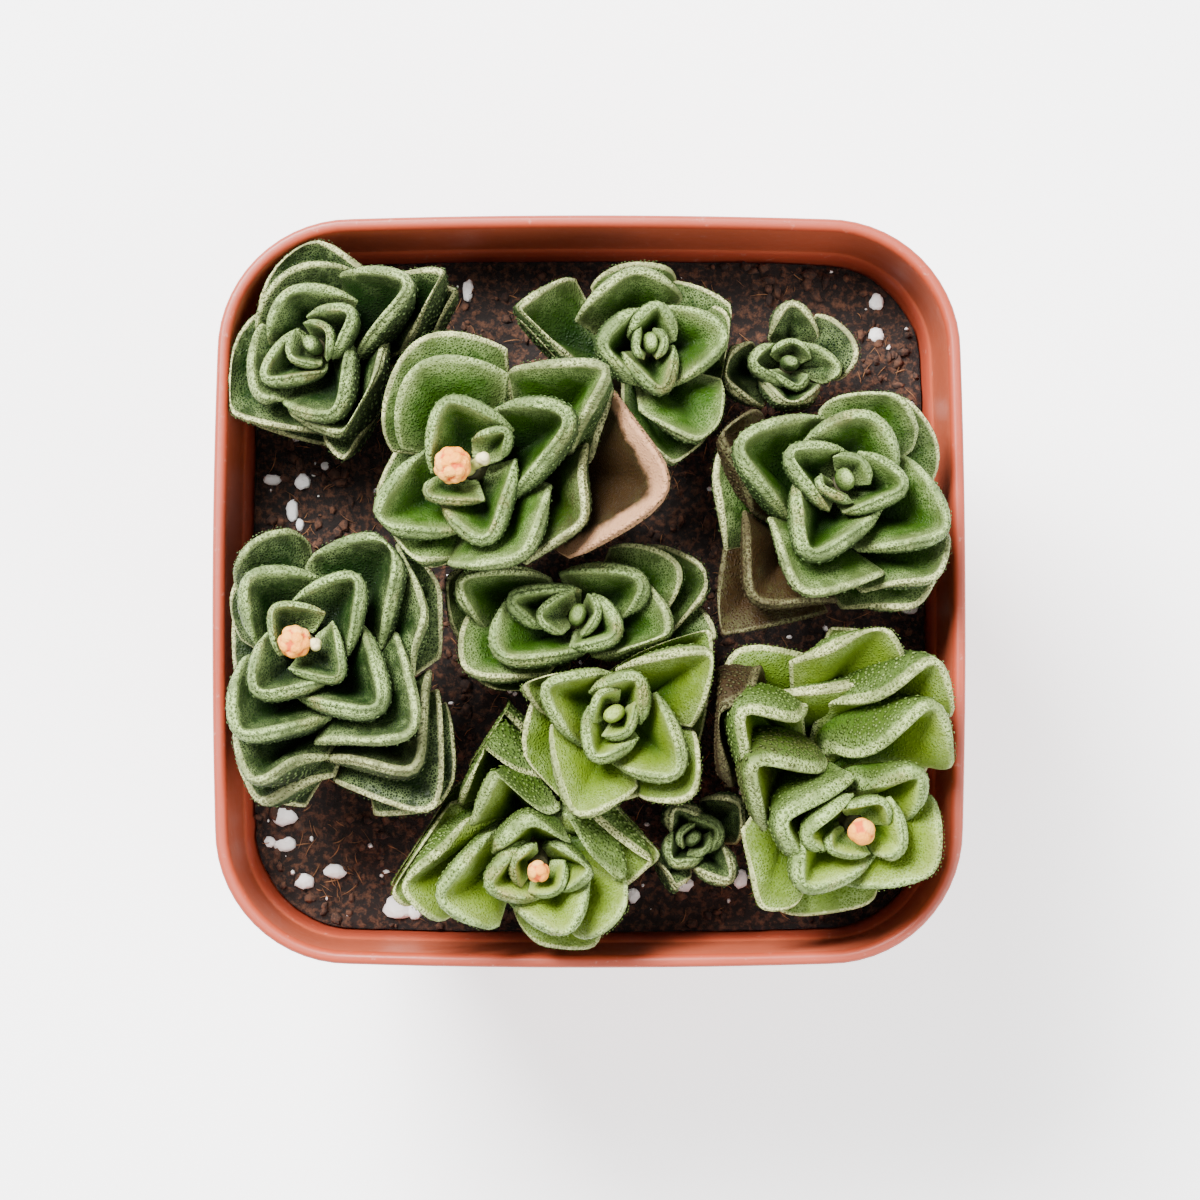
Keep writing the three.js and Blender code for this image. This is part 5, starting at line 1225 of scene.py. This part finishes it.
class CRASSULA_OT_leafy_stems(bpy.types.Operator):
    """Make the eleven leafy stems, each one living body with its leaves and papillae"""

    bl_idname = "crassula.leafy_stems"
    bl_label = "Leafy Stems"

    def execute(self, context):
        settings = context.scene.crassula_leaf
        kinds = ("leaf", "dark_leaf", "bright_leaf")
        sets = {slot: leaf_materials(settings, slot) for slot in kinds}
        for index, stem in enumerate(STEMS):
            rng = np.random.default_rng(SEED + 10 * index)
            skin = Skin()
            add_stem(skin, stem, index)
            if not stem.bud:
                add_tip(skin, stem)
            for pair in range(stem.pairs):
                for side in (0, 1):
                    leaf = leaf_of(stem, index, pair, side)
                    # The first tone value, the pair's age, also darkens the lower, outer pairs as
                    # painted shade.
                    tone = (pair / (stem.pairs - 1), rng.uniform(0, 1),
                            AGED.get((stem.node, pair, side), 0))
                    along, across = add_leaf(skin, stem, index, leaf, tone)
                    add_papillae(skin, stem, index, leaf, tone, rng, settings, along, across)
            piece = skin.piece(f"leafy_{stem.node}", sets[stem.slot])
            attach(piece, "root")
            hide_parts(stem.node)
        return {"FINISHED"}


# Radius and height of the closed leaves at the tip of a full-size stem
TIP = ((1.0, -3.2), (1.32, -1.6), (1.35, -0.6), (1.25, 0.2), (1.0, 0.8), (0.62, 1.15))


def add_tip(skin, stem):
    """Adds the youngest two leaves, still closed: an egg that a narrow slit parts at its top."""
    sides = 18
    a = circle(sides)
    slit = np.radians(stem.turn) + a
    radius, z = np.array(TIP).T[:, :, None] * stem.size
    squeeze = 1 - 0.16 * np.cos(2 * a)
    rings = np.stack([radius * squeeze * np.cos(slit), radius * squeeze * np.sin(slit),
                      z - 0.25 * radius * np.abs(np.cos(a))], -1)
    points, quads, caps = tube(rings)
    points[-2:] = (0, 0, z[-1, 0] - 0.35), (0, 0, z[0, 0])
    margin = np.concatenate([np.repeat(np.linspace(0.3, 0.03, len(rings)), sides), [0, 0.3]])
    skin.add(place(stem, points), quads, caps, slot=FACE, uv=(0.8, 0.5), tone=(0, 0.7, 0),
             skin=np.column_stack([margin, 0 * margin, 0 * margin]))


# ------------------------------------------------------------------------------------------
# Buds
# ------------------------------------------------------------------------------------------

def add_knob(skin, stem, middle, radius, bumps, tall, slot, turn):
    """Adds a rounded knob of closed buds: a ball whose skin bulges over points that lie on it by
    the golden angle, so that shallow grooves run between them."""
    golden = np.pi * (3 - math.sqrt(5))
    k = np.arange(bumps)
    z = 1 - 1.7 * (k + 0.5) / bumps
    flat = np.sqrt(1 - z ** 2)
    centres = np.stack([flat * np.cos(golden * k + turn), flat * np.sin(golden * k + turn), z], -1)
    form, quads, caps = ball(26, 36)
    apart = np.arccos(np.clip(form @ centres.T, -1, 1)) / (1.9 / math.sqrt(bumps))
    bulge = np.sqrt(np.clip(1 - apart.min(1) ** 2, 0, 1))
    p = form * (0.80 + 0.22 * bulge)[:, None] * radius * np.array([1, 1, tall]) + middle
    shade = (apart.argmin(1) * 0.618) % 1
    skin.add(place(stem, p), quads, caps, slot=slot, tone=np.stack([shade] * 3, -1),
             skin=np.stack([bulge, (form[:, 2] + 1) / 2, 0 * bulge], -1))


KNOB, STALK = range(2)


def add_bud_cluster(skin, stem, rng):
    """Adds the knob of closed buds on its stalk, and the single bud beside it."""
    width, dx, dy, bumps = stem.bud
    size = width / 2
    add_knob(skin, stem, (dx, dy, size * 0.45), size, bumps, 0.85, KNOB, rng.uniform(0, 6))
    low = -(BUD_SEAT * stem.size - 0.3)
    add_bud_stalk(skin, stem, (0, 0, low), (dx, dy, size * 0.1), size * 0.4, size * 0.7)
    if stem.small:
        x, y, r = stem.small
        add_knob(skin, stem, (x, y, 0.5), r, 3, 1.25, STALK, rng.uniform(0, 6))
        add_bud_stalk(skin, stem, (0, 0, low + 0.2), (x, y, 0.1), r * 0.6, r * 0.8)


def add_bud_stalk(skin, stem, foot, top, thin, thick):
    """Adds a short stalk from its foot to its top: rings that widen upwards."""
    sides, sections = 12, 7
    a = circle(sides)
    t = np.linspace(0, 1, sections)[:, None]
    middle = np.array(foot) + (np.array(top) - np.array(foot)) * t
    radius = thin + (thick - thin) * t
    rings = np.stack([middle[:, :1] + radius * np.cos(a), middle[:, 1:2] + radius * np.sin(a),
                      np.broadcast_to(middle[:, 2:], (sections, sides))], -1)
    points, quads, caps = tube(rings)
    skin.add(place(stem, points), quads, caps, slot=STALK)


class CRASSULA_OT_bud_clusters(bpy.types.Operator):
    """Make the four bud clusters"""

    bl_idname = "crassula.bud_clusters"
    bl_label = "Bud Clusters"

    def execute(self, context):
        materials = bud_materials(context.scene.crassula_bud)
        for index, stem in enumerate(STEMS):
            if not stem.bud:
                continue
            rng = np.random.default_rng(SEED + 500 + index)
            skin = Skin()
            add_bud_cluster(skin, stem, rng)
            node = stem.node.replace("stem", "bud")
            piece = skin.piece(f"{node}_cluster", materials)
            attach(piece, "root")
            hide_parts(node)
        return {"FINISHED"}


# ------------------------------------------------------------------------------------------
# Finishes
# ------------------------------------------------------------------------------------------

def feed(tree, socket, value):
    """Joins a value to an input or sets it there, a colour with full alpha."""
    if isinstance(value, bpy.types.NodeSocket):
        tree.links.new(value, socket)
    else:
        socket.default_value = (*value[:3], 1.0) if socket.type == "RGBA" else value


def add(tree, kind, values=None, **settings):
    """Adds a node, joins or sets its inputs, and returns it."""
    node = tree.nodes.new(kind)
    for key, value in settings.items():
        setattr(node, key, value)
    for key, value in (values or {}).items():
        feed(tree, node.inputs[key], value)
    return node


def blend(tree, share, a, b, mode="MIX"):
    """Colour between a and b."""
    node = add(tree, "ShaderNodeMix", {0: share}, data_type="RGBA", blend_type=mode)
    feed(tree, node.inputs[6], a)
    feed(tree, node.inputs[7], b)
    return node.outputs[2]


def calc(tree, work, *values):
    """Result of a Math node."""
    node = add(tree, "ShaderNodeMath", dict(enumerate(values)), operation=work)
    return node.outputs[0]


def fade(tree, value, low, high, to_low=0.0, to_high=1.0):
    """Value carried smoothly from one range to another."""
    ends = {"From Min": low, "From Max": high, "To Min": to_low, "To Max": to_high}
    node = add(tree, "ShaderNodeMapRange", {"Value": value, **ends},
               interpolation_type="SMOOTHSTEP")
    return node.outputs["Result"]


def noise(tree, where, scale, detail=3.0, rough=0.55, warp=0.0):
    """Fractal noise from 0 to 1."""
    node = add(tree, "ShaderNodeTexNoise", {"Vector": where, "Scale": scale, "Detail": detail,
                                            "Roughness": rough, "Distortion": warp})
    return node.outputs["Fac"]


def cells(tree, where, scale, feature="F1"):
    """Distance to the nearest of scattered points."""
    node = add(tree, "ShaderNodeTexVoronoi", {"Vector": where, "Scale": scale}, feature=feature)
    return node.outputs["Distance"]


def group(name, inputs, outputs, wire):
    """A shared node group, built once: named sockets and a function that wires its inside."""
    tree = bpy.data.node_groups.get(name)
    if tree:
        return tree
    tree = bpy.data.node_groups.new(name, "ShaderNodeTree")
    for label, kind in inputs:
        tree.interface.new_socket(label, in_out="INPUT", socket_type=kind)
    for label, kind in outputs:
        tree.interface.new_socket(label, in_out="OUTPUT", socket_type=kind)
    start = tree.nodes.new("NodeGroupInput")
    end = tree.nodes.new("NodeGroupOutput")
    for label, socket in wire(tree, start.outputs).items():
        tree.links.new(socket, end.inputs[label])
    return tree


def use(tree, shared, values):
    """Places a node group with its own values and returns its outputs."""
    return add(tree, "ShaderNodeGroup", values, node_tree=shared).outputs


FLOAT, COLOUR, VECTOR = "NodeSocketFloat", "NodeSocketColor", "NodeSocketVector"


def papillose_skin():
    """Fine net of pale lines between close-set cells, its pebbles, and patches where it is
    thicker."""
    def wire(tree, inputs):
        where, size = inputs["Where"], inputs["Size"]
        scale = calc(tree, "DIVIDE", 1.0, size)
        half = calc(tree, "MULTIPLY", scale, 0.5)
        bend = add(tree, "ShaderNodeTexNoise", {"Vector": where, "Scale": half, "Detail": 2.0})
        far = calc(tree, "MULTIPLY", size, 1.1)
        bend = add(tree, "ShaderNodeVectorMath", {0: bend.outputs["Color"], "Scale": far},
                   operation="SCALE").outputs[0]
        where = add(tree, "ShaderNodeVectorMath", {0: where, 1: bend}).outputs[0]
        lines = fade(tree, cells(tree, where, scale, "DISTANCE_TO_EDGE"), 0.20, 0.02)
        pebbles = fade(tree, cells(tree, where, scale), 0.62, 0.05)
        patch = noise(tree, where, calc(tree, "MULTIPLY", scale, 0.10), 3.0, 0.6)
        net = calc(tree, "MULTIPLY", lines, fade(tree, patch, 0.38, 0.62, 0.1, 1.0))
        return {"Net": net, "Pebbles": pebbles, "Patches": patch}
    return group("Papillose skin", [("Where", VECTOR), ("Size", FLOAT)],
                 [("Net", FLOAT), ("Pebbles", FLOAT), ("Patches", FLOAT)], wire)


def leaf_tone():
    """Colour of a leaf: a deep green painted as shade in the fold by the stem, then its own green,
    yellow-green towards the margin, partly the paler margin and partly a painted highlight, darker
    in older leaves, partly from age and partly painted shade on the lower, outer pairs, and brown
    in aged ones."""
    def wire(tree, inputs):
        where, age = inputs["Where"], inputs["Age"]
        cloud = noise(tree, where, 150.0, 4.0, 0.6)
        drift = calc(tree, "MULTIPLY", calc(tree, "SUBTRACT", cloud, 0.5), 0.5)
        # Painted shade: the deep green near the root stands in for the shade in the fold by the
        # stem.
        out_of_fold_shade = fade(tree, calc(tree, "ADD", inputs["Out"], drift), 0.34, 0.84)
        tint = blend(tree, out_of_fold_shade, inputs["Painted shade green"], inputs["Green"])
        # Partly real and partly a painted highlight: yellow-green towards the margin, where the
        # margin is paler and catches the light.
        glow = fade(tree, inputs["Margin distance"], 0.26, 0.02)
        glow = calc(tree, "MULTIPLY", glow, fade(tree, cloud, 0.3, 0.7, 0.45, 1.0))
        tint = blend(tree, glow, tint, inputs["Light green"])
        # Older pairs darker: partly from age, partly painted shade on the lower leaves under the
        # younger ones.
        tint = blend(tree, calc(tree, "MULTIPLY", age, 0.74), tint, inputs["Painted shade green"])
        draw = fade(tree, inputs["Draw"], 0.0, 1.0, 0.82, 1.12)
        tint = blend(tree, 1.0, tint, add_grey(tree, draw), mode="MULTIPLY")
        blotch = noise(tree, where, 260.0, 5.0, 0.65)
        blotch = calc(tree, "MULTIPLY", calc(tree, "SUBTRACT", blotch, 0.5), 1.6)
        worn = calc(tree, "ADD", calc(tree, "MULTIPLY", inputs["Brown"], 1.9), blotch)
        worn = calc(tree, "MULTIPLY", worn, fade(tree, inputs["Brown"], 0.0, 0.2))
        worn = fade(tree, worn, 0.45, 1.35)
        return {"Colour": blend(tree, worn, tint, inputs["Aged"]), "Cloud": cloud}
    return group("Leaf tone",
                 [("Where", VECTOR), ("Green", COLOUR), ("Light green", COLOUR),
                  ("Painted shade green", COLOUR), ("Aged", COLOUR), ("Age", FLOAT), ("Draw", FLOAT),
                  ("Brown", FLOAT), ("Margin distance", FLOAT), ("Out", FLOAT)],
                 [("Colour", COLOUR), ("Cloud", FLOAT)], wire)


# Width of the pale crest on young leaves, in centimetres as the skin attribute measures
CREST_WIDTH = 0.10


def crest(tree, settings, tint, leaf, tone, skin, net):
    """Colour with the pale crest laid on: a band that narrows with age, thicker where the net is,
    tan in patches on young leaves, and a broad pinkish band on the leaves that are all brown."""
    width = fade(tree, tone[0], 0.1, 0.7, CREST_WIDTH, CREST_WIDTH * 0.35)
    near = calc(tree, "SUBTRACT", 1.0, calc(tree, "DIVIDE", skin[0], width))
    near = fade(tree, near, 0.0, 1.0)
    fresh = fade(tree, tone[2], 0.3, 0.7, 1.0, 0.15)
    share = calc(tree, "MULTIPLY", near, fade(tree, net, 0.0, 0.7, 0.24, 0.66))
    pale = blend(tree, fade(tree, tone[0], 0.3, 0.8), settings.papilla, settings.margin)
    young = fade(tree, tone[0], 0.55, 0.1)
    patch = calc(tree, "MULTIPLY", fade(tree, leaf["Cloud"], 0.52, 0.66), young)
    pale = blend(tree, calc(tree, "MULTIPLY", patch, 0.75), pale, settings.tan)
    tint = blend(tree, calc(tree, "MULTIPLY", share, fresh), tint, pale)
    band = calc(tree, "ADD", skin[0], calc(tree, "MULTIPLY", leaf["Cloud"], 0.5))
    band = calc(tree, "MULTIPLY", fade(tree, band, 0.52, 0.34), fade(tree, tone[2], 0.92, 0.99))
    return blend(tree, band, tint, settings.blush)


def add_grey(tree, value):
    """A grey of the given lightness."""
    return add(tree, "ShaderNodeCombineColor", {0: value, 1: value, 2: value}).outputs[0]


def start_material(name):
    """An empty material with its tree, its shader and its object coordinates."""
    material = bpy.data.materials.new(name)
    material.use_nodes = True
    tree = material.node_tree
    tree.nodes.clear()
    shader = tree.nodes.new("ShaderNodeBsdfPrincipled")
    end = tree.nodes.new("ShaderNodeOutputMaterial")
    tree.links.new(shader.outputs[0], end.inputs["Surface"])
    where = add(tree, "ShaderNodeTexCoord").outputs["Object"]
    return material, tree, shader, where


def attribute(tree, name):
    """The three values of one of the piece's colour attributes."""
    read = add(tree, "ShaderNodeAttribute", attribute_type="GEOMETRY", attribute_name=name)
    return add(tree, "ShaderNodeSeparateColor", {"Color": read.outputs["Color"]}).outputs


def dress(tree, shader, tint, rough, height, depth):
    """Gives the shader a colour, a roughness and bumps from a height, at a depth in metres."""
    bump = add(tree, "ShaderNodeBump", {"Height": height, "Strength": 1.0, "Distance": depth})
    for name, value in (("Base Color", tint), ("Roughness", rough),
                        ("Normal", bump.outputs["Normal"])):
        feed(tree, shader.inputs[name], value)


def lighter(rgb, share, other=(1.0, 1.0, 1.0)):
    """Colour part of the way to another one."""
    return tuple(a + (b - a) * share for a, b in zip(rgb, other))


def darker(rgb, share):
    """Colour with a share of its light."""
    return tuple(c * share for c in rgb)


def leaf_materials(settings, slot):
    """Face, back, papilla and bare stem materials of one kind of stem."""
    green = {"leaf": settings.green, "dark_leaf": settings.dark_green,
             "bright_leaf": settings.bright_green}[slot]
    # Light green: the paler margin's tint, partly its own colour and partly a painted highlight.
    light = lighter(green, 0.05 if slot == "dark_leaf" else 0.13, settings.margin)
    # Painted shade: deep, a darkened copy of the leaf's green, stands in for the shade in the fold
    # by the stem and on the lower leaves.
    fold = 1.3 if slot == "bright_leaf" else 1.0
    deep = tuple(c * f * fold for c, f in zip(green, (0.14, 0.22, 0.24)))
    under = lighter(green, 0.8, settings.back)
    pale = lighter(under, 0.12, settings.papilla)
    return [skin_material(f"{slot} face", settings, (green, light, deep), FACE_CELL,
                          reach=(0.45, 0.05, 0.02, 0.30), rough=(0.40, 0.58), depth=0.00010),
            skin_material(f"{slot} back", settings, (under, pale, deep), BACK_CELL,
                          reach=(0.35, 0.0, 0.02, 0.22), rough=(0.62, 0.62), depth=0.00020),
            papilla_material(settings, slot, green, deep),
            stem_material(settings, slot)]


def leaf_shader(shader, weight=0.05):
    """Values of the shader that all living surfaces share: little gloss and a soft depth."""
    for name, value in (("Specular IOR Level", 0.12), ("Subsurface Weight", weight),
                        ("Subsurface Radius", (0.5, 1.0, 0.25)), ("Subsurface Scale", 0.0008)):
        shader.inputs[name].default_value = value


def outward(tree):
    """Place between a leaf's root and its tip, from 0 to 1."""
    uv = add(tree, "ShaderNodeUVMap", uv_map="UVMap").outputs["UV"]
    return add(tree, "ShaderNodeSeparateXYZ", {0: uv}).outputs["X"]


# Size in metres of the net's cells on the faces and on the backs
FACE_CELL, BACK_CELL = 0.00036, 0.00046


def skin_material(name, settings, greens, cell, reach, rough, depth):
    """Skin of a leaf, in its own green, a light one and a deep one that is painted shade in the
    fold by the stem. A faint pale net of cells fades in towards the margin and thickens into the
    crest; the roughness goes from one end of its range to the other in patches."""
    material, tree, shader, where = start_material(name)
    tone, skin = attribute(tree, "tone"), attribute(tree, "skin")
    leaf = use(tree, leaf_tone(), {
        "Where": where, **dict(zip(("Green", "Light green", "Painted shade green"), greens)),
        "Aged": settings.aged, "Age": tone[0], "Draw": tone[1], "Brown": tone[2],
        "Margin distance": skin[0], "Out": outward(tree)})
    cover = use(tree, papillose_skin(), {"Where": where, "Size": cell})
    mottle = calc(tree, "MULTIPLY", cover["Net"], fade(tree, skin[0], *reach))
    mottle = calc(tree, "MULTIPLY", mottle, fade(tree, tone[2], 0.1, 0.6, 1.0, 0.2))
    tint = blend(tree, mottle, leaf["Colour"], settings.papilla)
    tint = crest(tree, settings, tint, leaf, tone, skin, cover["Net"])
    leaf_shader(shader)
    rough = fade(tree, cover["Patches"], 0.3, 0.7, *rough)
    dress(tree, shader, tint, rough, cover["Pebbles"], depth)
    return material


def papilla_material(settings, slot, green, deep):
    """Papillae: the back's green at their foot, darkened towards the leaf's root as painted shade,
    paler at their top and towards the margin.
    """
    material, tree, shader, where = start_material(f"{slot} papillae")
    tone, skin = attribute(tree, "tone"), attribute(tree, "skin")
    foot = lighter(green, 0.75, settings.back)
    # Painted shade: the foot darkens towards the leaf's root.
    foot = blend(tree, fade(tree, outward(tree), 0.55, 0.85), lighter(deep, 0.5, foot), foot)
    fresh = fade(tree, tone[2], 0.1, 0.6, 1.0, 0.2)
    foot = blend(tree, fade(tree, tone[2], 0.1, 0.6), foot, settings.aged)
    far = fade(tree, outward(tree), 0.6, 1.0, 0.05, 0.40)
    top = calc(tree, "MULTIPLY", fade(tree, skin[2], 0.3, 1.0), far)
    tint = blend(tree, calc(tree, "MULTIPLY", top, fresh), foot, settings.papilla)
    leaf_shader(shader, weight=0)
    dress(tree, shader, tint, 0.6, noise(tree, where, 3000.0, 2.0), 0.00005)
    return material


def stem_material(settings, slot):
    """Bare stem: woody olive skin with fine lengthwise cracks."""
    material, tree, shader, where = start_material(f"{slot} bare stem")
    grain = noise(tree, where, 420.0, 5.0, 0.65, 0.6)
    tint = blend(tree, fade(tree, grain, 0.35, 0.7), darker(settings.stem, 0.45), settings.stem)
    dress(tree, shader, tint, 0.75, grain, 0.0003)
    return material


def plastic(settings):
    """Moulded pot plastic: bright at the thin lip, browner on the collar, redder below it. These
    tones of the one plastic are painted light and shade by height, and the collar's tone is
    lightened to stand in for light on the shaded collar.
    """
    material, tree, shader, where = start_material("terracotta plastic")
    height = add(tree, "ShaderNodeSeparateXYZ", {0: where}).outputs["Z"]
    mottle = noise(tree, where, 60.0, 4.0, 0.6)
    fine = noise(tree, where, 900.0, 3.0, 0.6)
    # Painted light and shade: bands for the lip, the collar and the wall below it, picked by
    # height.
    lip = fade(tree, height, (POT_HEIGHT - 1.5) * MM, (POT_HEIGHT - 0.5) * MM)
    collar = fade(tree, height, (LEDGE - 0.6) * MM, (LEDGE + 0.2) * MM)
    tint = blend(tree, collar, settings.wall, settings.collar)
    tint = blend(tree, lip, tint, settings.lip)
    tint = blend(tree, fade(tree, mottle, 0.3, 0.75, 0.0, 0.22), tint, settings.lip)
    dust = calc(tree, "MULTIPLY", fade(tree, fine, 0.62, 0.75), 0.12)
    tint = blend(tree, dust, tint, (0.75, 0.6, 0.5))
    shader.inputs["Specular IOR Level"].default_value = 0.5
    rough = fade(tree, mottle, 0.3, 0.7, 0.36, 0.52)
    dress(tree, shader, tint, rough, fine, settings.grain)
    return material


def mix_materials(settings):
    """Damp mix, drier crumbs, coir fibres and perlite."""
    made = []
    for name, low, high, scale, depth, rough in (
            ("potting mix", darker(settings.dark, 0.35), settings.crumb, 900.0, 0.0008, 0.95),
            ("bark crumbs", settings.dark, settings.crumb, 700.0, 0.0006, 0.9),
            ("coir fibres", darker(settings.fibre, 0.4), settings.fibre, 500.0, 0.0002, 0.8),
            ("perlite", darker(settings.perlite, 0.92), settings.perlite, 800.0, 0.0005, 0.9)):
        material, tree, shader, where = start_material(name)
        tone = attribute(tree, "tone")
        grain = noise(tree, where, scale, 6.0, 0.7)
        share = calc(tree, "SUBTRACT", calc(tree, "MULTIPLY", tone[0], 0.4), 0.2)
        share = calc(tree, "ADD", fade(tree, grain, 0.38, 0.72), share)
        share = add(tree, "ShaderNodeClamp", {"Value": share}).outputs[0]
        dress(tree, shader, blend(tree, share, low, high), rough, grain, depth)
        made.append(material)
    return made


def bud_materials(settings):
    """Petals of the closed buds, and the green of the stalk and the single bud."""
    petals, tree, shader, where = start_material("bud petals")
    tone, skin = attribute(tree, "tone"), attribute(tree, "skin")
    fine = noise(tree, where, 1800.0, 3.0)
    crown = fade(tree, tone[0], 0.2, 0.9, 0.0, 0.55)
    top = blend(tree, crown, settings.petal, lighter(settings.petal, 0.4, (1.0, 0.84, 0.3)))
    # Painted shade: the grooves between the bumps, where the bulge is low, take the darker tip
    # colour.
    tint = blend(tree, fade(tree, skin[0], 0.05, 0.75), settings.tip, top)
    tint = blend(tree, fade(tree, skin[1], 0.42, 0.1), tint, lighter(settings.sepal, 0.4))
    tint = blend(tree, fade(tree, fine, 0.5, 0.8, 0.0, 0.3), tint, settings.tip)
    leaf_shader(shader)
    dress(tree, shader, tint, 0.4, fine, 0.0003)
    stalk, tree, shader, where = start_material("bud stalk")
    skin = attribute(tree, "skin")
    fine = noise(tree, where, 1500.0, 3.0)
    tint = blend(tree, fine, darker(settings.sepal, 0.6), settings.sepal)
    pale = lighter(settings.sepal, 0.55, (1.0, 0.82, 0.5))
    tint = blend(tree, fade(tree, skin[1], 0.5, 0.95), tint, pale)
    leaf_shader(shader)
    dress(tree, shader, tint, 0.6, fine, 0.0001)
    return [petals, stalk]


# ------------------------------------------------------------------------------------------
# Stage
# ------------------------------------------------------------------------------------------

# Where the camera's axis meets the photograph, in its 1200 pixels, and pixels per millimetre at
# the height of the lip
FRAME_PIXELS = 1200
FRAME_CENTRE = (589.0, 589.5)
LIP_PIXELS = 7.47
SENSOR = 36

# Half side of the floor in millimetres
FLOOR_HALF = 3000

# Colour of the light from all around
SURROUND = (0.96, 0.98, 1.0)

# Lights: name, place and size in metres and share of the key light's power, and what they face
LIGHTS = (("key_light", (-0.32, 0.44, 0.8), 0.4, 1.0),
          ("side_light", (0.55, -0.35, 0.7), 0.7, 0.25))
LIGHT_AIM = (0, 0, 0.08)


class CRASSULA_OT_stage(bpy.types.Operator):
    """Make the pale floor, the soft lights and the camera"""

    bl_idname = "crassula.stage"
    bl_label = "Stage"

    def execute(self, context):
        settings = context.scene.crassula_stage
        self.floor(settings)
        self.lights(context, settings)
        self.camera(context, settings)
        return {"FINISHED"}

    @staticmethod
    def floor(settings):
        """A pale floor that gives off a little light."""
        skin = Skin()
        corners = ((-1, -1, 0), (1, -1, 0), (1, 1, 0), (-1, 1, 0))
        skin.add(np.array(corners) * FLOOR_HALF, quads=[(0, 1, 2, 3)])
        material, tree, shader, where = start_material("pale floor")
        cloud = noise(tree, where, 6.0, 2.0)
        tint = blend(tree, cloud, darker(settings.floor, 0.97), settings.floor)
        for name, value in (("Base Color", tint), ("Roughness", 0.9),
                            ("Emission Color", (1, 1, 1)), ("Emission Strength", settings.glow)):
            feed(tree, shader.inputs[name], value)
        skin.piece("studio_floor", [material], smooth=False)

    @staticmethod
    def lights(context, settings):
        """Even light from all around, and the lights of the table."""
        world = bpy.data.worlds.new("soft surround")
        world.use_nodes = True
        background = world.node_tree.nodes["Background"].inputs
        background["Color"].default_value = (*SURROUND, 1.0)
        background["Strength"].default_value = settings.fill
        context.scene.world = world
        for name, at, size, share in LIGHTS:
            data = bpy.data.lights.new(name, "AREA")
            data.size = size
            data.energy = settings.key * share
            light = bpy.data.objects.new(name, data)
            light.location = at
            away = Vector(at) - Vector(LIGHT_AIM)
            light.rotation_euler = away.to_track_quat("Z", "Y").to_euler()
            context.scene.collection.objects.link(light)

    @staticmethod
    def camera(context, settings):
        """The photograph's camera: its frame in pixels turned into a lens and a shift."""
        data = bpy.data.cameras.new("photo_camera")
        camera = bpy.data.objects.new("photo_camera", data)
        context.scene.collection.objects.link(camera)
        context.scene.camera = camera
        t, d = settings.tilt, settings.distance
        camera.location = (0, -d * math.sin(t), POT_HEIGHT * MM + d * math.cos(t))
        camera.rotation_euler = (t, 0, 0)
        data.sensor_width = SENSOR
        data.lens = SENSOR * LIP_PIXELS * d / MM / FRAME_PIXELS
        data.shift_x = (FRAME_PIXELS / 2 - FRAME_CENTRE[0]) / FRAME_PIXELS
        data.shift_y = -(FRAME_PIXELS / 2 - FRAME_CENTRE[1]) / FRAME_PIXELS
        data.clip_start, data.clip_end = 0.01, 20


# ------------------------------------------------------------------------------------------
# Panel and registration
# ------------------------------------------------------------------------------------------

SETTINGS = (("crassula_pot", CrassulaPotSettings), ("crassula_mix", CrassulaMixSettings),
            ("crassula_leaf", CrassulaLeafSettings), ("crassula_bud", CrassulaBudSettings),
            ("crassula_stage", CrassulaStageSettings))
MAKERS = (CRASSULA_OT_pot, CRASSULA_OT_potting_mix, CRASSULA_OT_leafy_stems,
          CRASSULA_OT_bud_clusters, CRASSULA_OT_stage)


class CRASSULA_PT_panel(bpy.types.Panel):
    """Lists the pieces and their settings"""

    bl_label = "Potted Crassula"
    bl_idname = "CRASSULA_PT_panel"
    bl_space_type = "VIEW_3D"
    bl_region_type = "UI"
    bl_category = "Crassula"

    def draw(self, context):
        for (name, kind), maker in zip(SETTINGS, MAKERS):
            box = self.layout.box()
            box.operator(maker.bl_idname)
            for setting in kind.__annotations__:
                box.prop(getattr(context.scene, name), setting)


def register():
    """Registers the settings, the operators and the panel."""
    for name, kind in SETTINGS:
        bpy.utils.register_class(kind)
        setattr(bpy.types.Scene, name, PointerProperty(type=kind))
    for kind in (*MAKERS, CRASSULA_PT_panel):
        bpy.utils.register_class(kind)


def unregister():
    """Takes them out again."""
    for kind in (CRASSULA_PT_panel, *reversed(MAKERS)):
        bpy.utils.unregister_class(kind)
    for name, kind in reversed(SETTINGS):
        delattr(bpy.types.Scene, name)
        bpy.utils.unregister_class(kind)


def main():
    register()
    bpy.ops.crassula.pot()
    bpy.ops.crassula.potting_mix()
    bpy.ops.crassula.leafy_stems()
    bpy.ops.crassula.bud_clusters()
    bpy.ops.crassula.stage()


if __name__ == "__main__":
    main()
